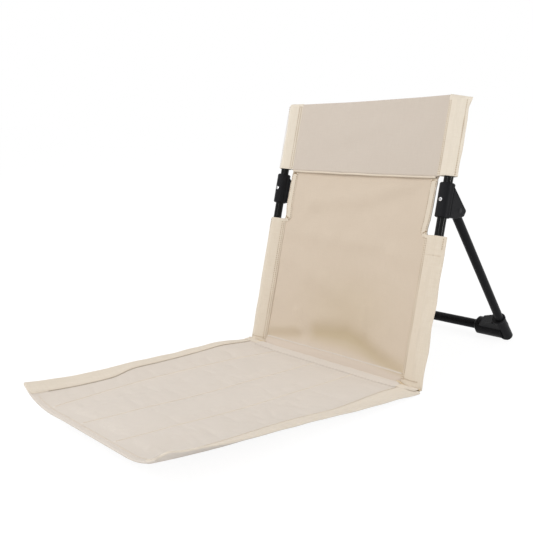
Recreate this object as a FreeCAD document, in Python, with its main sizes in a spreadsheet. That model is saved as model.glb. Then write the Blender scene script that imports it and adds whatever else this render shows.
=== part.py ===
"""Legless folding chair: a cloth seat mat on the ground, a cloth back on two upright
tubes, and a rear frame that swings out on hinge brackets to prop the back up.

Millimetres, +Z up. The front of the seat points to -Y, and left and right are as
seen from the front, left at -X. The origin is on the floor, under the middle of
the chair's box. The back has a frame of its own: "up" runs along the upright tubes
from their lower ends, and "back" is square to them, towards the rear.
"""
import FreeCAD, Part
import math
import os
import Sketcher

V = FreeCAD.Vector
X_AXIS = V(1, 0, 0)

doc = FreeCAD.newDocument("floor_chair")

# Driving dimensions
DIMENSIONS = {
    "axis_span": (400, "between the axes of the two upright tubes"),
    "recline": (17, "lean of the uprights from the vertical, degrees"),
    "fold_y": (82.75, "fold line between back and seat, from the middle of the chair"),
    "base_height": (8.8, "lower end of the upright axis above the floor"),
    "tube_od": (16, "outer diameter of the uprights and struts"),
    "tube_wall": (1.2, "wall of every tube"),
    "tube_fit": (0.05, "radial gap between a tube and the socket it sits in"),
    "upright_length": (478, "upright tube"),
    "plug_head": (2.5, "thickness of a tube plug's head"),
    "plug_depth": (16, "spigot of a tube plug"),
    "overcut": (1, "how far a cut runs past the face that it opens"),
    "bracket_low": (283, "lower end of the bracket, up the upright"),
    "bracket_length": (59, "bracket sleeve along the upright"),
    "bracket_od": (26, "bracket sleeve across"),
    "bracket_bevel": (1.7, "bevel on the sleeve's rims"),
    "pivot_up": (18, "hinge pin above the bracket's lower end"),
    "pivot_back": (30, "hinge pin behind the upright axis"),
    "clevis_width": (26, "clevis across its two cheeks"),
    "slot_width": (19.6, "gap between the cheeks"),
    "slot_front": (18, "front wall of the gap, behind the upright axis"),
    "roof": (5.2, "thickness of the clevis roof, which stops the strut"),
    "stop_gap": (0.3, "strut below the roof when the frame is open"),
    "clevis_tip": (49.5, "rear corner of the clevis, behind the upright axis"),
    "chin_back": (45, "lower rear corner of the cheeks, behind the axis"),
    "chin_up": (9.5, "lower rear corner of the cheeks, above the bracket's end"),
    "heel_back": (20, "where the cheeks' lower edge turns level"),
    "heel_up": (2, "level part of the cheeks' lower edge"),
    "clevis_root": (4, "where the clevis starts inside the sleeve"),
    "tip_round": (4.5, "rounding of the clevis corners"),
    "cheek_bevel": (1.2, "bevel on the cheeks' outer edges"),
    "pin_dia": (5, "hinge pin"),
    "pin_fit": (0.05, "running gap round the hinge pin"),
    "pin_head_dia": (9, "hinge pin's heads"),
    "pin_head": (1.4, "height of the hinge pin's heads"),
    "rivet_dia": (4, "blind rivet's shank"),
    "rivet_head_dia": (6.4, "blind rivet's head"),
    "rivet_head": (1.3, "height of the blind rivet's head"),
    "rivet_eye": (2.2, "hollow in the middle of the rivet's head"),
    "rivet_depth": (7.5, "rivet's shank below its head"),
    "strut_angle": (36.5, "lean of the open struts from the vertical, degrees"),
    "toe_in": (20, "how far each strut leans inwards at its foot"),
    "strut_start": (12, "strut tube's upper end below the pin"),
    "eye_end": (5, "strut plug's tapered end above the pin"),
    "eye_end_dia": (12.4, "that end at its top"),
    "strut_seat": (4, "strut tube's lower end above the crossbar axis"),
    "strut_plug_depth": (18, "spigot of the strut's plug"),
    "bar_height": (21.5, "crossbar axis above the floor"),
    "bar_od": (19, "outer diameter of the crossbar"),
    "bar_gap": (10, "crossbar's end short of the strut axis"),
    "barrel_dia": (35, "corner foot's barrel"),
    "barrel_length": (60, "barrel from the strut axis to its inner end"),
    "barrel_bevel": (5, "bevel on the barrel's inner end"),
    "web_width": (24, "web between the barrel and the boot, across"),
    "web_foot": (44, "where that web meets the barrel, from the strut axis"),
    "web_top": (30, "where it meets the boot, above the crossbar axis"),
    "boot_mouth_dia": (24.5, "boot below its collar"),
    "boot_collar_dia": (26.5, "collar round the boot's mouth"),
    "boot_collar": (4, "height of that collar"),
    "collar_slope": (2, "sloped underside of that collar"),
    "boot_foot_dia": (22, "boot at its lower end"),
    "boot_above": (36, "boot's mouth above the crossbar axis, along the strut"),
    "boot_below": (24, "boot's end below the crossbar axis, along the strut"),
    "boot_bevel": (4.065, "bevel on the boot's lower end"),
    "cloth": (1.3, "thickness of one cloth layer"),
    "sleeve_gap": (0.3, "between the upright and the cloth sleeve round it"),
    "sleeve_inner": (24, "sleeve's sewn edge, inwards from the upright axis"),
    "sleeve_outer": (16, "sleeve's piped edge, outwards from the upright axis"),
    "piping": (1.9, "radius of the piping along the sleeve's outer edge"),
    "sleeve_bottom": (-6, "lower sleeve's closed end, up the upright"),
    "sleeve_top": (252, "lower sleeve's open end, up the upright"),
    "head_bottom": (353, "head sleeve's open end, up the upright"),
    "head_top": (490, "head sleeve's closed end, up the upright"),
    "sleeve_end": (3, "thickness of a sleeve's closed end"),
    "panel_half": (182, "half the width of the cloth panels, seam allowance included"),
    "panel_lap": (9, "back panel's top edge above the headrest hem"),
    "panel_sag": (13.5, "how far the back panel hangs behind the uprights"),
    "panel_toe_below": (4.5, "back panel's lower edge below the uprights' ends"),
    "panel_toe_forward": (7, "back panel's lower edge in front of the upright axis"),
    "panel_toe_height": (15, "where the panel starts to turn forward, up the upright"),
    "panel_lap_start": (250, "where the panel starts to pass behind the hem"),
    "headrest_thick": (3, "headrest panel, two layers of cloth"),
    "headrest_sag": (5, "how far the headrest hangs behind the uprights"),
    "hem_height": (5, "headrest hem"),
    "notch_width": (10, "bound edge of a notch"),
    "notch_thick": (3.1, "tape folded round that edge"),
    "notch_edge": (176, "bound edge of a notch at its ends, from the middle"),
    "notch_bow": (1.5, "how far that edge bows outwards between its ends"),
    "welt_dia": (3.6, "sewn welt at the fold"),
    "welt_forward": (8, "welt in front of the upright axis"),
    "welt_below": (5, "welt below the uprights' lower ends"),
    "seat_length": (500, "fold line to the mat's front edge"),
    "seat_gap": (13, "mat's rear edge in front of the fold line"),
    "channel_seam": (100, "outer channel seams, from the middle"),
    "mat_edge": (4.5, "mat's thickness at its seams and edges"),
    "mat_crown": (8, "mat's thickness in the middle of a channel"),
    "mat_half": (192.8, "half the mat's width at the rear, without its bindings"),
    "mat_draw_in": (15, "how much narrower each half is at the front"),
    "front_rise": (29, "how far the mat's front edge rises off the floor"),
    "side_lift_rear": (3, "how far the mat's sides curl up at the rear"),
    "side_lift_front": (21, "how far the mat's sides curl up at the front"),
    "binding_width": (26, "side binding"),
    "binding_thick": (5.3, "side binding over the mat's edge"),
    "sewn_lap": (2, "overlap of two sewn pieces"),
    "front_hem": (11, "front hem's depth"),
}
dims = doc.addObject("Spreadsheet::Sheet", "dims")
for row, (alias, (number, note)) in enumerate(DIMENSIONS.items(), 1):
    dims.set("A%d" % row, note)
    dims.set("B%d" % row, str(number))
    dims.setAlias("B%d" % row, alias)
doc.recompute()


def size(text):
    """The value of an expression on the sheet, such as "dims.tube_od / 2"."""
    return float(dims.evalExpression(text))


def dim(alias):
    return size("dims." + alias)


# Places

HALF_SPAN = dim("axis_span") / 2
LEAN = math.radians(dim("recline"))
BACK_TURN = FreeCAD.Rotation(X_AXIS, -dim("recline"))
SIDES = {"left": -1, "right": 1}
NEAR = 1e-4


def on_back(x, back, up):
    """A point of the back's own frame."""
    y = dim("fold_y") + up * math.sin(LEAN) + back * math.cos(LEAN)
    z = dim("base_height") + up * math.cos(LEAN) - back * math.sin(LEAN)
    return V(x, y, z)


def back_place(side, up):
    """The upright's frame, with its origin this far up the tube."""
    return FreeCAD.Placement(on_back(side * HALF_SPAN, 0, up), BACK_TURN)


def pivot_point(side):
    return on_back(side * HALF_SPAN, dim("pivot_back"), dim("bracket_low") + dim("pivot_up"))


def foot_point(side):
    """Where the strut's axis meets the crossbar's."""
    pin = pivot_point(side)
    drop = pin.z - dim("bar_height")
    y = pin.y + drop * math.tan(math.radians(dim("strut_angle")))
    return V(side * (HALF_SPAN - dim("toe_in")), y, dim("bar_height"))


def strut_place(side):
    """The strut's frame: origin at the hinge pin, +Z down the strut."""
    along = foot_point(side) - pivot_point(side)
    turn = FreeCAD.Rotation(X_AXIS, V(), along.normalize(), "ZXY")
    return FreeCAD.Placement(pivot_point(side), turn)


def foot_place(side):
    """The corner foot's frame: +X along the crossbar, +Z up beside the strut."""
    return FreeCAD.Placement(foot_point(side), FreeCAD.Rotation(X_AXIS, dim("strut_angle")))


# Sketches and features bound to the sheet

def new_body(label):
    body = doc.addObject("PartDesign::Body", label)
    body.Label = label
    return body


def new_sketch(body, name, plane):
    sketch = body.newObject("Sketcher::SketchObject", body.Label + "_" + name)
    support = [f for f in body.Origin.OriginFeatures if f.Role == plane + "_Plane"][0]
    sketch.AttachmentSupport = (support, [""])
    sketch.MapMode = "FlatFace"
    return sketch


def bind_point(sketch, geometry, end, x, y):
    """Tie a point of the sketch to two expressions, measured from the origin."""
    for kind, text, axis in (("DistanceX", x, -2), ("DistanceY", y, -1)):
        if text == "0":
            sketch.addConstraint(Sketcher.Constraint("PointOnObject", geometry, end, axis))
        else:
            held = Sketcher.Constraint(kind, -1, 1, geometry, end, size(text))
            index = sketch.addConstraint(held)
            sketch.setExpression("Constraints[%d]" % index, text)


def polygon(body, name, plane, corners):
    """A closed outline of straight lines through (x, y) expressions."""
    sketch = new_sketch(body, name, plane)
    points = [V(size(x), size(y), 0) for x, y in corners]
    for start, end in zip(points, points[1:] + points[:1]):
        sketch.addGeometry(Part.LineSegment(start, end), False)
    for i in range(len(points)):
        following = (i + 1) % len(points)
        sketch.addConstraint(Sketcher.Constraint("Coincident", i, 2, following, 1))
    for i, (x, y) in enumerate(corners):
        bind_point(sketch, i, 1, x, y)
    return sketch


def circles(body, name, plane, radii, x="0", y="0"):
    """Concentric circles whose radii are expressions."""
    sketch = new_sketch(body, name, plane)
    for i, radius in enumerate(radii):
        sketch.addGeometry(Part.Circle(V(size(x), size(y), 0), V(0, 0, 1), size(radius)), False)
        index = sketch.addConstraint(Sketcher.Constraint("Radius", i, size(radius)))
        sketch.setExpression("Constraints[%d]" % index, radius)
        bind_point(sketch, i, 3, x, y)
    return sketch


def extrude(body, kind, sketch, length, both_ways=False, turned=False):
    """A Pad or a Pocket, with its length an expression."""
    feature = body.newObject("PartDesign::" + kind, sketch.Name + "_" + kind.lower())
    feature.Profile = sketch
    feature.setExpression("Length", length)
    if both_ways:
        feature.SideType = "Symmetric"
    feature.Reversed = turned
    sketch.Visibility = False
    doc.recompute()
    return feature


def pad(body, sketch, length, **options):
    return extrude(body, "Pad", sketch, length, **options)


def pocket(body, sketch, length, **options):
    """A cut that has to remove something."""
    before = body.Shape.Volume
    feature = extrude(body, "Pocket", sketch, length, **options)
    if body.Shape.Volume > before - NEAR:
        raise RuntimeError(sketch.Name + " cuts nothing")
    return feature


def revolve(body, sketch, axis):
    feature = body.newObject("PartDesign::Revolution", sketch.Name + "_turned")
    feature.Profile = sketch
    feature.ReferenceAxis = (sketch, [axis])
    feature.Angle = 360
    sketch.Visibility = False
    doc.recompute()
    return feature


def dress(body, kind, amount, wanted):
    """Round ("Fillet") or bevel ("Chamfer") the edges that the test picks out."""
    base = body.Tip
    names = ["Edge%d" % i for i, edge in enumerate(base.Shape.Edges, 1) if wanted(edge)]
    if not names:
        raise RuntimeError("no edge to dress on " + body.Label)
    feature = body.newObject("PartDesign::" + kind, body.Label + "_" + kind.lower())
    feature.Base = (base, names)
    feature.setExpression({"Fillet": "Radius", "Chamfer": "Size"}[kind], amount)
    doc.recompute()
    return feature


def is_circle(edge, radius):
    return isinstance(edge.Curve, Part.Circle) and abs(edge.Curve.Radius - radius) < NEAR


# Tubes and their plugs

TUBE_RADIUS = "dims.tube_od / 2"
TUBE_BORE = "dims.tube_od / 2 - dims.tube_wall"
SPIGOT = "dims.tube_od / 2 - dims.tube_wall - dims.tube_fit"


def upright_tube(label, side):
    body = new_body(label)
    pad(body, circles(body, "section", "XY", [TUBE_RADIUS, TUBE_BORE]), "dims.upright_length")
    hole = circles(body, "rivet_hole", "XZ", ["dims.rivet_dia / 2 + dims.pin_fit"], "0",
                   "dims.bracket_low + dims.bracket_length / 2")
    pocket(body, hole, "dims.tube_od", turned=True)
    body.Placement = back_place(side, 0)
    return body


def tube_plug(label, side, at_top):
    """A turned plug: a head that caps the tube and a spigot inside it."""
    body = new_body(label)
    profile = polygon(body, "profile", "XZ", [
        ("0", "dims.plug_head"), (TUBE_RADIUS, "dims.plug_head"), (TUBE_RADIUS, "0"),
        (SPIGOT, "0"), (SPIGOT, "-dims.plug_depth"), ("0", "-dims.plug_depth")])
    revolve(body, profile, "V_Axis")
    if at_top:
        body.Placement = back_place(side, dim("upright_length"))
    else:
        over = FreeCAD.Placement(V(), FreeCAD.Rotation(X_AXIS, 180))
        body.Placement = back_place(side, 0).multiply(over)
    return body


def strut_tube(label, side):
    body = new_body(label)
    reach = (foot_point(side) - pivot_point(side)).Length
    length = "%.4f - dims.strut_start - dims.strut_seat" % reach
    pad(body, circles(body, "section", "XY", [TUBE_RADIUS, TUBE_BORE]), length)
    start = FreeCAD.Placement(V(0, 0, dim("strut_start")), FreeCAD.Rotation())
    body.Placement = strut_place(side).multiply(start)
    return body


def crossbar(label):
    body = new_body(label)
    outer = "dims.bar_od / 2"
    section = circles(body, "section", "YZ", [outer, outer + " - dims.tube_wall"])
    pad(body, section, "dims.axis_span - 2 * dims.toe_in - 2 * dims.bar_gap", both_ways=True)
    middle = foot_point(1)
    body.Placement.Base = V(0, middle.y, middle.z)
    return body


# Hinge bracket: a sleeve on the upright with a clevis behind it

OPEN_TURN = "(dims.strut_angle + dims.recline)"


def roof_line(distance, back):
    """Height of a line parallel to the open strut, at a distance above its axis."""
    return ("dims.pivot_up + (%s - (%s - dims.pivot_back) * cos(%s)) / sin(%s)"
            % (distance, back, OPEN_TURN, OPEN_TURN))


def hinge_bracket(label, side):
    body = new_body(label)
    rim = dim("bracket_od") / 2
    pad(body, circles(body, "sleeve", "XY", ["dims.bracket_od / 2"]), "dims.bracket_length")
    dress(body, "Chamfer", "dims.bracket_bevel", lambda edge: is_circle(edge, rim))
    above = "(dims.tube_od / 2 + dims.stop_gap + dims.roof)"
    clevis = polygon(body, "clevis", "YZ", [
        ("dims.clevis_root", roof_line(above, "dims.clevis_root")),
        ("dims.clevis_tip", roof_line(above, "dims.clevis_tip")),
        ("dims.chin_back", "dims.chin_up"),
        ("dims.heel_back", "dims.heel_up"),
        ("dims.clevis_root", "dims.heel_up")])
    pad(body, clevis, "dims.clevis_width", both_ways=True)

    def rear_corner(edge):
        box = edge.BoundBox
        past_heel = box.YMin > (dim("heel_back") + dim("chin_back")) / 2
        return past_heel and abs(box.XLength - dim("clevis_width")) < NEAR

    dress(body, "Fillet", "dims.tip_round", rear_corner)

    def cheek_rim(edge):
        box = edge.BoundBox
        on_cheek = abs(abs(box.Center.x) - dim("clevis_width") / 2) < NEAR
        return on_cheek and box.XLength < NEAR and box.YMax > rim

    dress(body, "Chamfer", "dims.cheek_bevel", cheek_rim)
    below = "(dims.tube_od / 2 + dims.stop_gap)"
    past_tip = "2 * dims.clevis_tip"
    past_end = "-dims.bracket_length"
    slot = polygon(body, "slot", "YZ", [
        ("dims.slot_front", roof_line(below, "dims.slot_front")),
        (past_tip, roof_line(below, past_tip)),
        (past_tip, past_end), ("dims.slot_front", past_end)])
    pocket(body, slot, "dims.slot_width", both_ways=True)
    bore = circles(body, "bore", "XY", ["dims.tube_od / 2 + dims.tube_fit"])
    pocket(body, bore, "dims.bracket_length", turned=True)
    pin_hole = circles(body, "pin_hole", "YZ", ["dims.pin_dia / 2 + dims.pin_fit"],
                       "dims.pivot_back", "dims.pivot_up")
    pocket(body, pin_hole, "dims.clevis_width * 2", both_ways=True)
    rivet_hole = circles(body, "rivet_hole", "XZ", ["dims.rivet_dia / 2 + dims.pin_fit"],
                         "0", "dims.bracket_length / 2")
    pocket(body, rivet_hole, "dims.bracket_od", turned=True)
    body.Placement = back_place(side, dim("bracket_low"))
    return body


def bracket_rivet(side_name, side):
    """A blind rivet through the bracket's front and the tube's wall."""
    body = new_body("bracket_rivet_" + side_name)
    face = "-dims.bracket_od / 2"
    top = face + " - dims.rivet_head"
    end = face + " + dims.rivet_depth"
    profile = polygon(body, "profile", "XY", [
        ("0", face), ("dims.rivet_eye / 2", face), ("dims.rivet_eye / 2", top),
        ("dims.rivet_head_dia / 2 - dims.rivet_head", top),
        ("dims.rivet_head_dia / 2", face + " - dims.rivet_head / 3"),
        ("dims.rivet_head_dia / 2", face), ("dims.rivet_dia / 2", face),
        ("dims.rivet_dia / 2", end), ("0", end)])
    revolve(body, profile, "V_Axis")
    body.Placement = back_place(side, dim("bracket_low") + dim("bracket_length") / 2)
    return body


def bracket_rivets(label):
    group = doc.addObject("Part::Compound", label)
    group.Links = [bracket_rivet(name, side) for name, side in SIDES.items()]
    return group


def hinge_pin(label, side):
    """A pin with a low head on each cheek."""
    body = new_body(label)
    cheek = "dims.clevis_width / 2"
    top = cheek + " + dims.pin_head"
    flat = "dims.pin_head_dia / 2 - dims.pin_head"
    half = [("0", top), (flat, top), ("dims.pin_head_dia / 2", cheek), ("dims.pin_dia / 2", cheek)]
    outline = [(along, across) for across, along in half]
    outline += [("-(%s)" % along, across) for across, along in reversed(half)]
    revolve(body, polygon(body, "profile", "XZ", outline), "H_Axis")
    body.Placement.Base = pivot_point(side)
    return body


# Rear frame fittings

def strut_plug(label, side):
    """A plug in the strut's upper end, tapered past the hinge pin."""
    head = doc.addObject("Part::Cone", label + "_head")
    head.setExpression("Radius1", "dims.eye_end_dia / 2")
    head.setExpression("Radius2", TUBE_RADIUS)
    head.setExpression("Height", "dims.eye_end")
    head.setExpression("Placement.Base.z", "-dims.eye_end")
    neck = doc.addObject("Part::Cylinder", label + "_neck")
    neck.setExpression("Radius", TUBE_RADIUS)
    neck.setExpression("Height", "dims.strut_start")
    spigot = doc.addObject("Part::Cylinder", label + "_spigot")
    spigot.setExpression("Radius", SPIGOT)
    spigot.setExpression("Height", "dims.strut_start + dims.strut_plug_depth")
    whole = doc.addObject("Part::MultiFuse", label + "_blank")
    whole.Shapes = [head, neck, spigot]
    whole.Placement = strut_place(side)
    bore = doc.addObject("Part::Cylinder", label + "_bore")
    bore.setExpression("Radius", "dims.pin_dia / 2 + dims.pin_fit")
    bore.setExpression("Height", "dims.clevis_width")
    across = FreeCAD.Rotation(V(0, 1, 0), 90)
    bore.Placement = FreeCAD.Placement(pivot_point(side) - X_AXIS * dim("clevis_width") / 2, across)
    plug = doc.addObject("Part::Cut", label)
    plug.Base = whole
    plug.Tool = bore
    return plug


def corner_foot(label, side):
    """A moulded elbow: a barrel on the crossbar, a boot on the strut and a web between them."""
    body = new_body(label)
    mouth = "dims.boot_mouth_dia / 2"
    collar = "dims.boot_collar_dia / 2"
    boot = polygon(body, "boot", "XZ", [
        ("0", "-dims.boot_below"), ("dims.boot_foot_dia / 2 - dims.boot_bevel", "-dims.boot_below"),
        ("dims.boot_foot_dia / 2", "-dims.boot_below + dims.boot_bevel"),
        (mouth, "dims.boot_above - dims.boot_collar - dims.collar_slope"),
        (collar, "dims.boot_above - dims.boot_collar"),
        (collar, "dims.boot_above - dims.boot_collar / 4"),
        (collar + " - dims.boot_collar / 4", "dims.boot_above"), ("0", "dims.boot_above")])
    revolve(body, boot, "V_Axis")
    inner = "%d * dims.barrel_length" % -side
    across = "dims.barrel_dia / 2"
    barrel = polygon(body, "barrel", "XZ", [
        ("0", "0"), (inner, "0"), (inner, across + " - dims.barrel_bevel"),
        ("%s + %d * dims.barrel_bevel" % (inner, side), across), ("0", across)])
    revolve(body, barrel, "H_Axis")
    web = polygon(body, "web", "XZ", [
        ("0", "0"), ("%d * dims.web_foot" % -side, "0"), ("%d * dims.web_foot" % -side, across),
        ("%d * %s" % (-side, mouth), "dims.web_top"), ("0", "dims.web_top")])
    pad(body, web, "dims.web_width", both_ways=True)
    bar_socket = circles(body, "bar_socket", "YZ", ["dims.bar_od / 2 + dims.tube_fit"])
    pocket(body, bar_socket, "dims.barrel_length + dims.overcut", turned=side < 0)
    strut_socket = circles(body, "strut_socket", "XY", ["dims.tube_od / 2 + dims.tube_fit"])
    lean = foot_place(side).Rotation.inverted().multVec(pivot_point(side) - foot_point(side))
    tilt = FreeCAD.Rotation(V(0, 0, 1), lean)
    strut_socket.AttachmentOffset = FreeCAD.Placement(V(), tilt)
    pocket(body, strut_socket, "dims.boot_above + dims.overcut", turned=True)
    reach = "2 * dims.boot_above"
    low = "-4 * dims.boot_above"
    floor_at = "(-dims.bar_height - (%s) * sin(dims.strut_angle)) / cos(dims.strut_angle)"
    floor = polygon(body, "floor", "YZ", [
        ("-" + reach, floor_at % ("-" + reach)), (reach, floor_at % reach),
        (reach, low), ("-" + reach, low)])
    pocket(body, floor, "4 * dims.barrel_length", both_ways=True)
    body.Placement = foot_place(side)
    return body


# Cloth: closed solids through outlines of lines and arcs

def line(start, end):
    return Part.LineSegment(start, end).toShape()


def arc(start, middle, end):
    return Part.Arc(start, middle, end).toShape()


def loft(label, wires):
    """One solid through closed outlines that have the same edges in the same order."""
    feature = doc.addObject("Part::Feature", label)
    feature.Label = label
    feature.Shape = Part.makeLoft(wires, True, True)
    return feature


def cloth_strip(up, back, sag, thick, half):
    """Outline of a hanging cloth at one height: two arcs and two short ends."""
    def bow(offset):
        left = on_back(-half, back + offset, up)
        middle = on_back(0, back + sag + offset, up)
        right = on_back(half, back + offset, up)
        return left, middle, right

    front, rear = bow(-thick / 2), bow(thick / 2)
    return Part.Wire([arc(*front), line(front[2], rear[2]), arc(*reversed(rear)),
                      line(rear[0], front[0])])


PANEL_ROWS = 15
# How the panel's rows crowd towards its lower edge: 1 would space them evenly
ROW_CROWD = 1.6
# Sag at the panel's lower and upper edges, as shares of panel_sag
TOE_SAG = 0.1
TOP_SAG = 0.45


def panel_form(up, low, top):
    """How far the panel's sides stand behind the upright axis, and its sag, at one height."""
    share = (up - low) / (top - low)
    sag = math.sin(math.pi * math.sqrt(share)) + TOE_SAG + (TOP_SAG - TOE_SAG) * share
    toe = max(0, dim("panel_toe_height") - up) / (dim("panel_toe_height") - low)
    lap = max(0, up - dim("panel_lap_start")) / (top - dim("panel_lap_start"))
    behind_hem = dim("headrest_thick") / 2 + dim("cloth")
    back = behind_hem * lap ** 2 * (3 - 2 * lap) - dim("panel_toe_forward") * toe ** 2
    return back, dim("panel_sag") * sag


def back_panel(label):
    """Hangs behind the uprights, and turns forward at the bottom to meet the welt."""
    low, top = -dim("panel_toe_below"), dim("head_bottom") + dim("panel_lap")
    wires = []
    for row in range(PANEL_ROWS):
        up = low + (top - low) * (row / (PANEL_ROWS - 1)) ** ROW_CROWD
        back, sag = panel_form(up, low, top)
        wires.append(cloth_strip(up, back, sag, dim("cloth"), dim("panel_half")))
    return loft(label, wires)


def headrest_panel(label):
    heights = (dim("head_bottom"), (dim("head_bottom") + dim("head_top")) / 2,
               dim("head_top") - dim("sleeve_end"))
    sag, thick = dim("headrest_sag"), dim("headrest_thick")
    wires = [cloth_strip(up, 0, sag, thick, dim("panel_half")) for up in heights]
    return loft(label, wires)


def headrest_hem(label):
    top = dim("head_bottom")
    half = HALF_SPAN - dim("sleeve_inner")
    thick = dim("headrest_thick") + dim("cloth") / 2
    heights = (top - dim("hem_height"), top)
    return loft(label, [cloth_strip(up, 0, dim("headrest_sag"), thick, half) for up in heights])


def sleeve_outline(side, up):
    """A cloth tunnel round the tube, flat to its sewn edge and piped on the outside."""
    radius = dim("tube_od") / 2 + dim("sleeve_gap") + dim("cloth")
    inner, outer = -dim("sleeve_inner"), dim("sleeve_outer")
    ply, bead = dim("cloth"), dim("piping")

    def at(x, back):
        return on_back(side * (HALF_SPAN + x), back, up)

    def touch(x, half):
        """Where a straight line from (x, half) touches the tunnel's round."""
        turn = math.atan2(half, x) + math.copysign(math.acos(radius / math.hypot(x, half)), x)
        return radius * math.cos(turn), radius * math.sin(turn)

    def face(sign):
        """The rear face (1) or the front face (-1), from the sewn edge outwards."""
        near, far = touch(inner, ply), touch(outer, bead)
        flat = [(inner, ply), near, (0, radius), far, (outer, bead)]
        return [at(x, sign * back) for x, back in flat]

    rear, front = face(1), face(-1)
    nose = arc(rear[4], at(outer + bead, 0), front[4])
    return Part.Wire([line(rear[0], rear[1]), arc(*rear[1:4]), line(rear[3], rear[4]), nose,
                      line(front[4], front[3]), arc(front[3], front[2], front[1]),
                      line(front[1], front[0]), line(front[0], rear[0])])


def sleeve(label, side, low, high, open_low, open_high):
    """A sleeve with its tunnel open from open_low to open_high."""
    feature = doc.addObject("Part::Feature", label)
    feature.Label = label
    along = on_back(0, 0, 1) - on_back(0, 0, 0)
    blank = Part.Face(sleeve_outline(side, low)).extrude(along * (high - low))
    bore = dim("tube_od") / 2 + dim("sleeve_gap")
    start = on_back(side * HALF_SPAN, 0, open_low)
    tunnel = Part.makeCylinder(bore, open_high - open_low, start, along)
    feature.Shape = blank.cut(tunnel)
    return feature


def lower_sleeve(label, side):
    low, high = dim("sleeve_bottom"), dim("sleeve_top")
    return sleeve(label, side, low, high, low + dim("sleeve_end"), high + dim("overcut"))


def head_sleeve(label, side):
    low, high = dim("head_bottom"), dim("head_top")
    return sleeve(label, side, low, high, low - dim("overcut"), high - dim("sleeve_end"))


def notch_binding(label, side):
    """A folded tape round the panel's bowed edge beside the bracket."""
    low, high = dim("sleeve_top"), dim("head_bottom") - dim("hem_height")
    edge, bow, width = dim("notch_edge"), dim("notch_bow"), dim("notch_width")
    thick = dim("notch_thick")

    def curve(x, back):
        ends = [on_back(side * x, back, up) for up in (low, high)]
        middle = on_back(side * (x + bow), back, (low + high) / 2)
        return ends[0], middle, ends[1]

    outer, inner = curve(edge, -thick / 2), curve(edge - width, -thick / 2)
    outline = Part.Wire([arc(*outer), line(outer[2], inner[2]), arc(*reversed(inner)),
                         line(inner[0], outer[0])])
    feature = doc.addObject("Part::Feature", label)
    feature.Label = label
    rearward = on_back(0, 1, 0) - on_back(0, 0, 0)
    feature.Shape = Part.Face(outline).extrude(rearward * thick)
    return feature


def fold_welt(label):
    """The sewn welt that joins the back to the seat, between the two sleeves."""
    welt = doc.addObject("Part::Cylinder", label)
    welt.setExpression("Radius", "dims.welt_dia / 2")
    welt.setExpression("Height", "dims.axis_span - 2 * dims.sleeve_inner")
    half = HALF_SPAN - dim("sleeve_inner")
    end = on_back(-half, -dim("welt_forward"), -dim("welt_below"))
    welt.Placement = FreeCAD.Placement(end, FreeCAD.Rotation(V(0, 1, 0), 90))
    return welt


# Seat mat: sewn channels, with the sides and the front curling up off the floor

MAT_ROWS = 8
# Share of the mat's length that lies flat, from its rear edge
FLAT_SHARE = 0.25
# How the sides curl towards the front: 1 would be a steady rise
CURL_POWER = 0.8


def mat_form(distance):
    """Half width, rise of the middle and curl of the sides, this far from the fold."""
    rear, front = dim("seat_gap"), dim("seat_length")
    share = (distance - rear) / (front - rear)
    half = dim("mat_half") - dim("mat_draw_in") * share
    raised = max(0, share - FLAT_SHARE) / (1 - FLAT_SHARE)
    rise = dim("front_rise") * raised ** 2
    curl = dim("side_lift_front") - dim("side_lift_rear")
    return half, rise, dim("side_lift_rear") + curl * share ** CURL_POWER


def mat_side(distance, side):
    """The curled side of the mat: its lower edge, mid point, direction and normal."""
    half, rise, lift = mat_form(distance)
    run = half - dim("channel_seam")
    radius = (run ** 2 + lift ** 2) / (2 * lift)
    turn = 2 * math.atan2(lift, run)
    y = dim("fold_y") - distance

    def on_arc(angle):
        x = dim("channel_seam") + radius * math.sin(angle)
        return V(side * x, y, rise + radius * (1 - math.cos(angle)))

    def normal(angle):
        return V(-side * math.sin(angle), 0, math.cos(angle))

    along = V(side * math.cos(turn), 0, math.sin(turn))
    return on_arc(turn), on_arc(turn / 2), along, normal(turn), normal(turn / 2)


def mat_outline(distance, crown):
    """Section of the mat: a flat underside, curled sides and four crowned channels."""
    seam, edge = dim("channel_seam"), dim("mat_edge")
    rise = mat_form(distance)[1]
    y = dim("fold_y") - distance

    def seam_point(x, height):
        return V(x, y, rise + height)

    left = mat_side(distance, -1)
    right = mat_side(distance, 1)
    edges = [arc(left[0], left[1], seam_point(-seam, 0)),
             line(seam_point(-seam, 0), seam_point(seam, 0)),
             arc(seam_point(seam, 0), right[1], right[0])]
    tops = [right[0] + right[3] * edge, seam_point(seam, edge), seam_point(0, edge),
            seam_point(-seam, edge), left[0] + left[3] * edge]
    crowns = [right[1] + right[4] * crown, seam_point(seam / 2, crown),
              seam_point(-seam / 2, crown), left[1] + left[4] * crown]
    edges.append(line(right[0], tops[0]))
    for start, middle, end in zip(tops, crowns, tops[1:]):
        edges.append(arc(start, middle, end))
    edges.append(line(tops[-1], left[0]))
    return Part.Wire(edges)


def row_distances(start, end):
    step = (end - start) / (MAT_ROWS - 1)
    return [start + step * i for i in range(MAT_ROWS)]


def seat_mat(label):
    rows = row_distances(dim("seat_gap"), dim("seat_length") - dim("front_hem"))
    return loft(label, [mat_outline(distance, dim("mat_crown")) for distance in rows])


def seat_front_hem(label):
    end = dim("seat_length")
    flat = dim("mat_edge") + dim("cloth")
    depths = (end - dim("front_hem") - dim("sewn_lap"), end)
    return loft(label, [mat_outline(distance, flat) for distance in depths])


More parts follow.
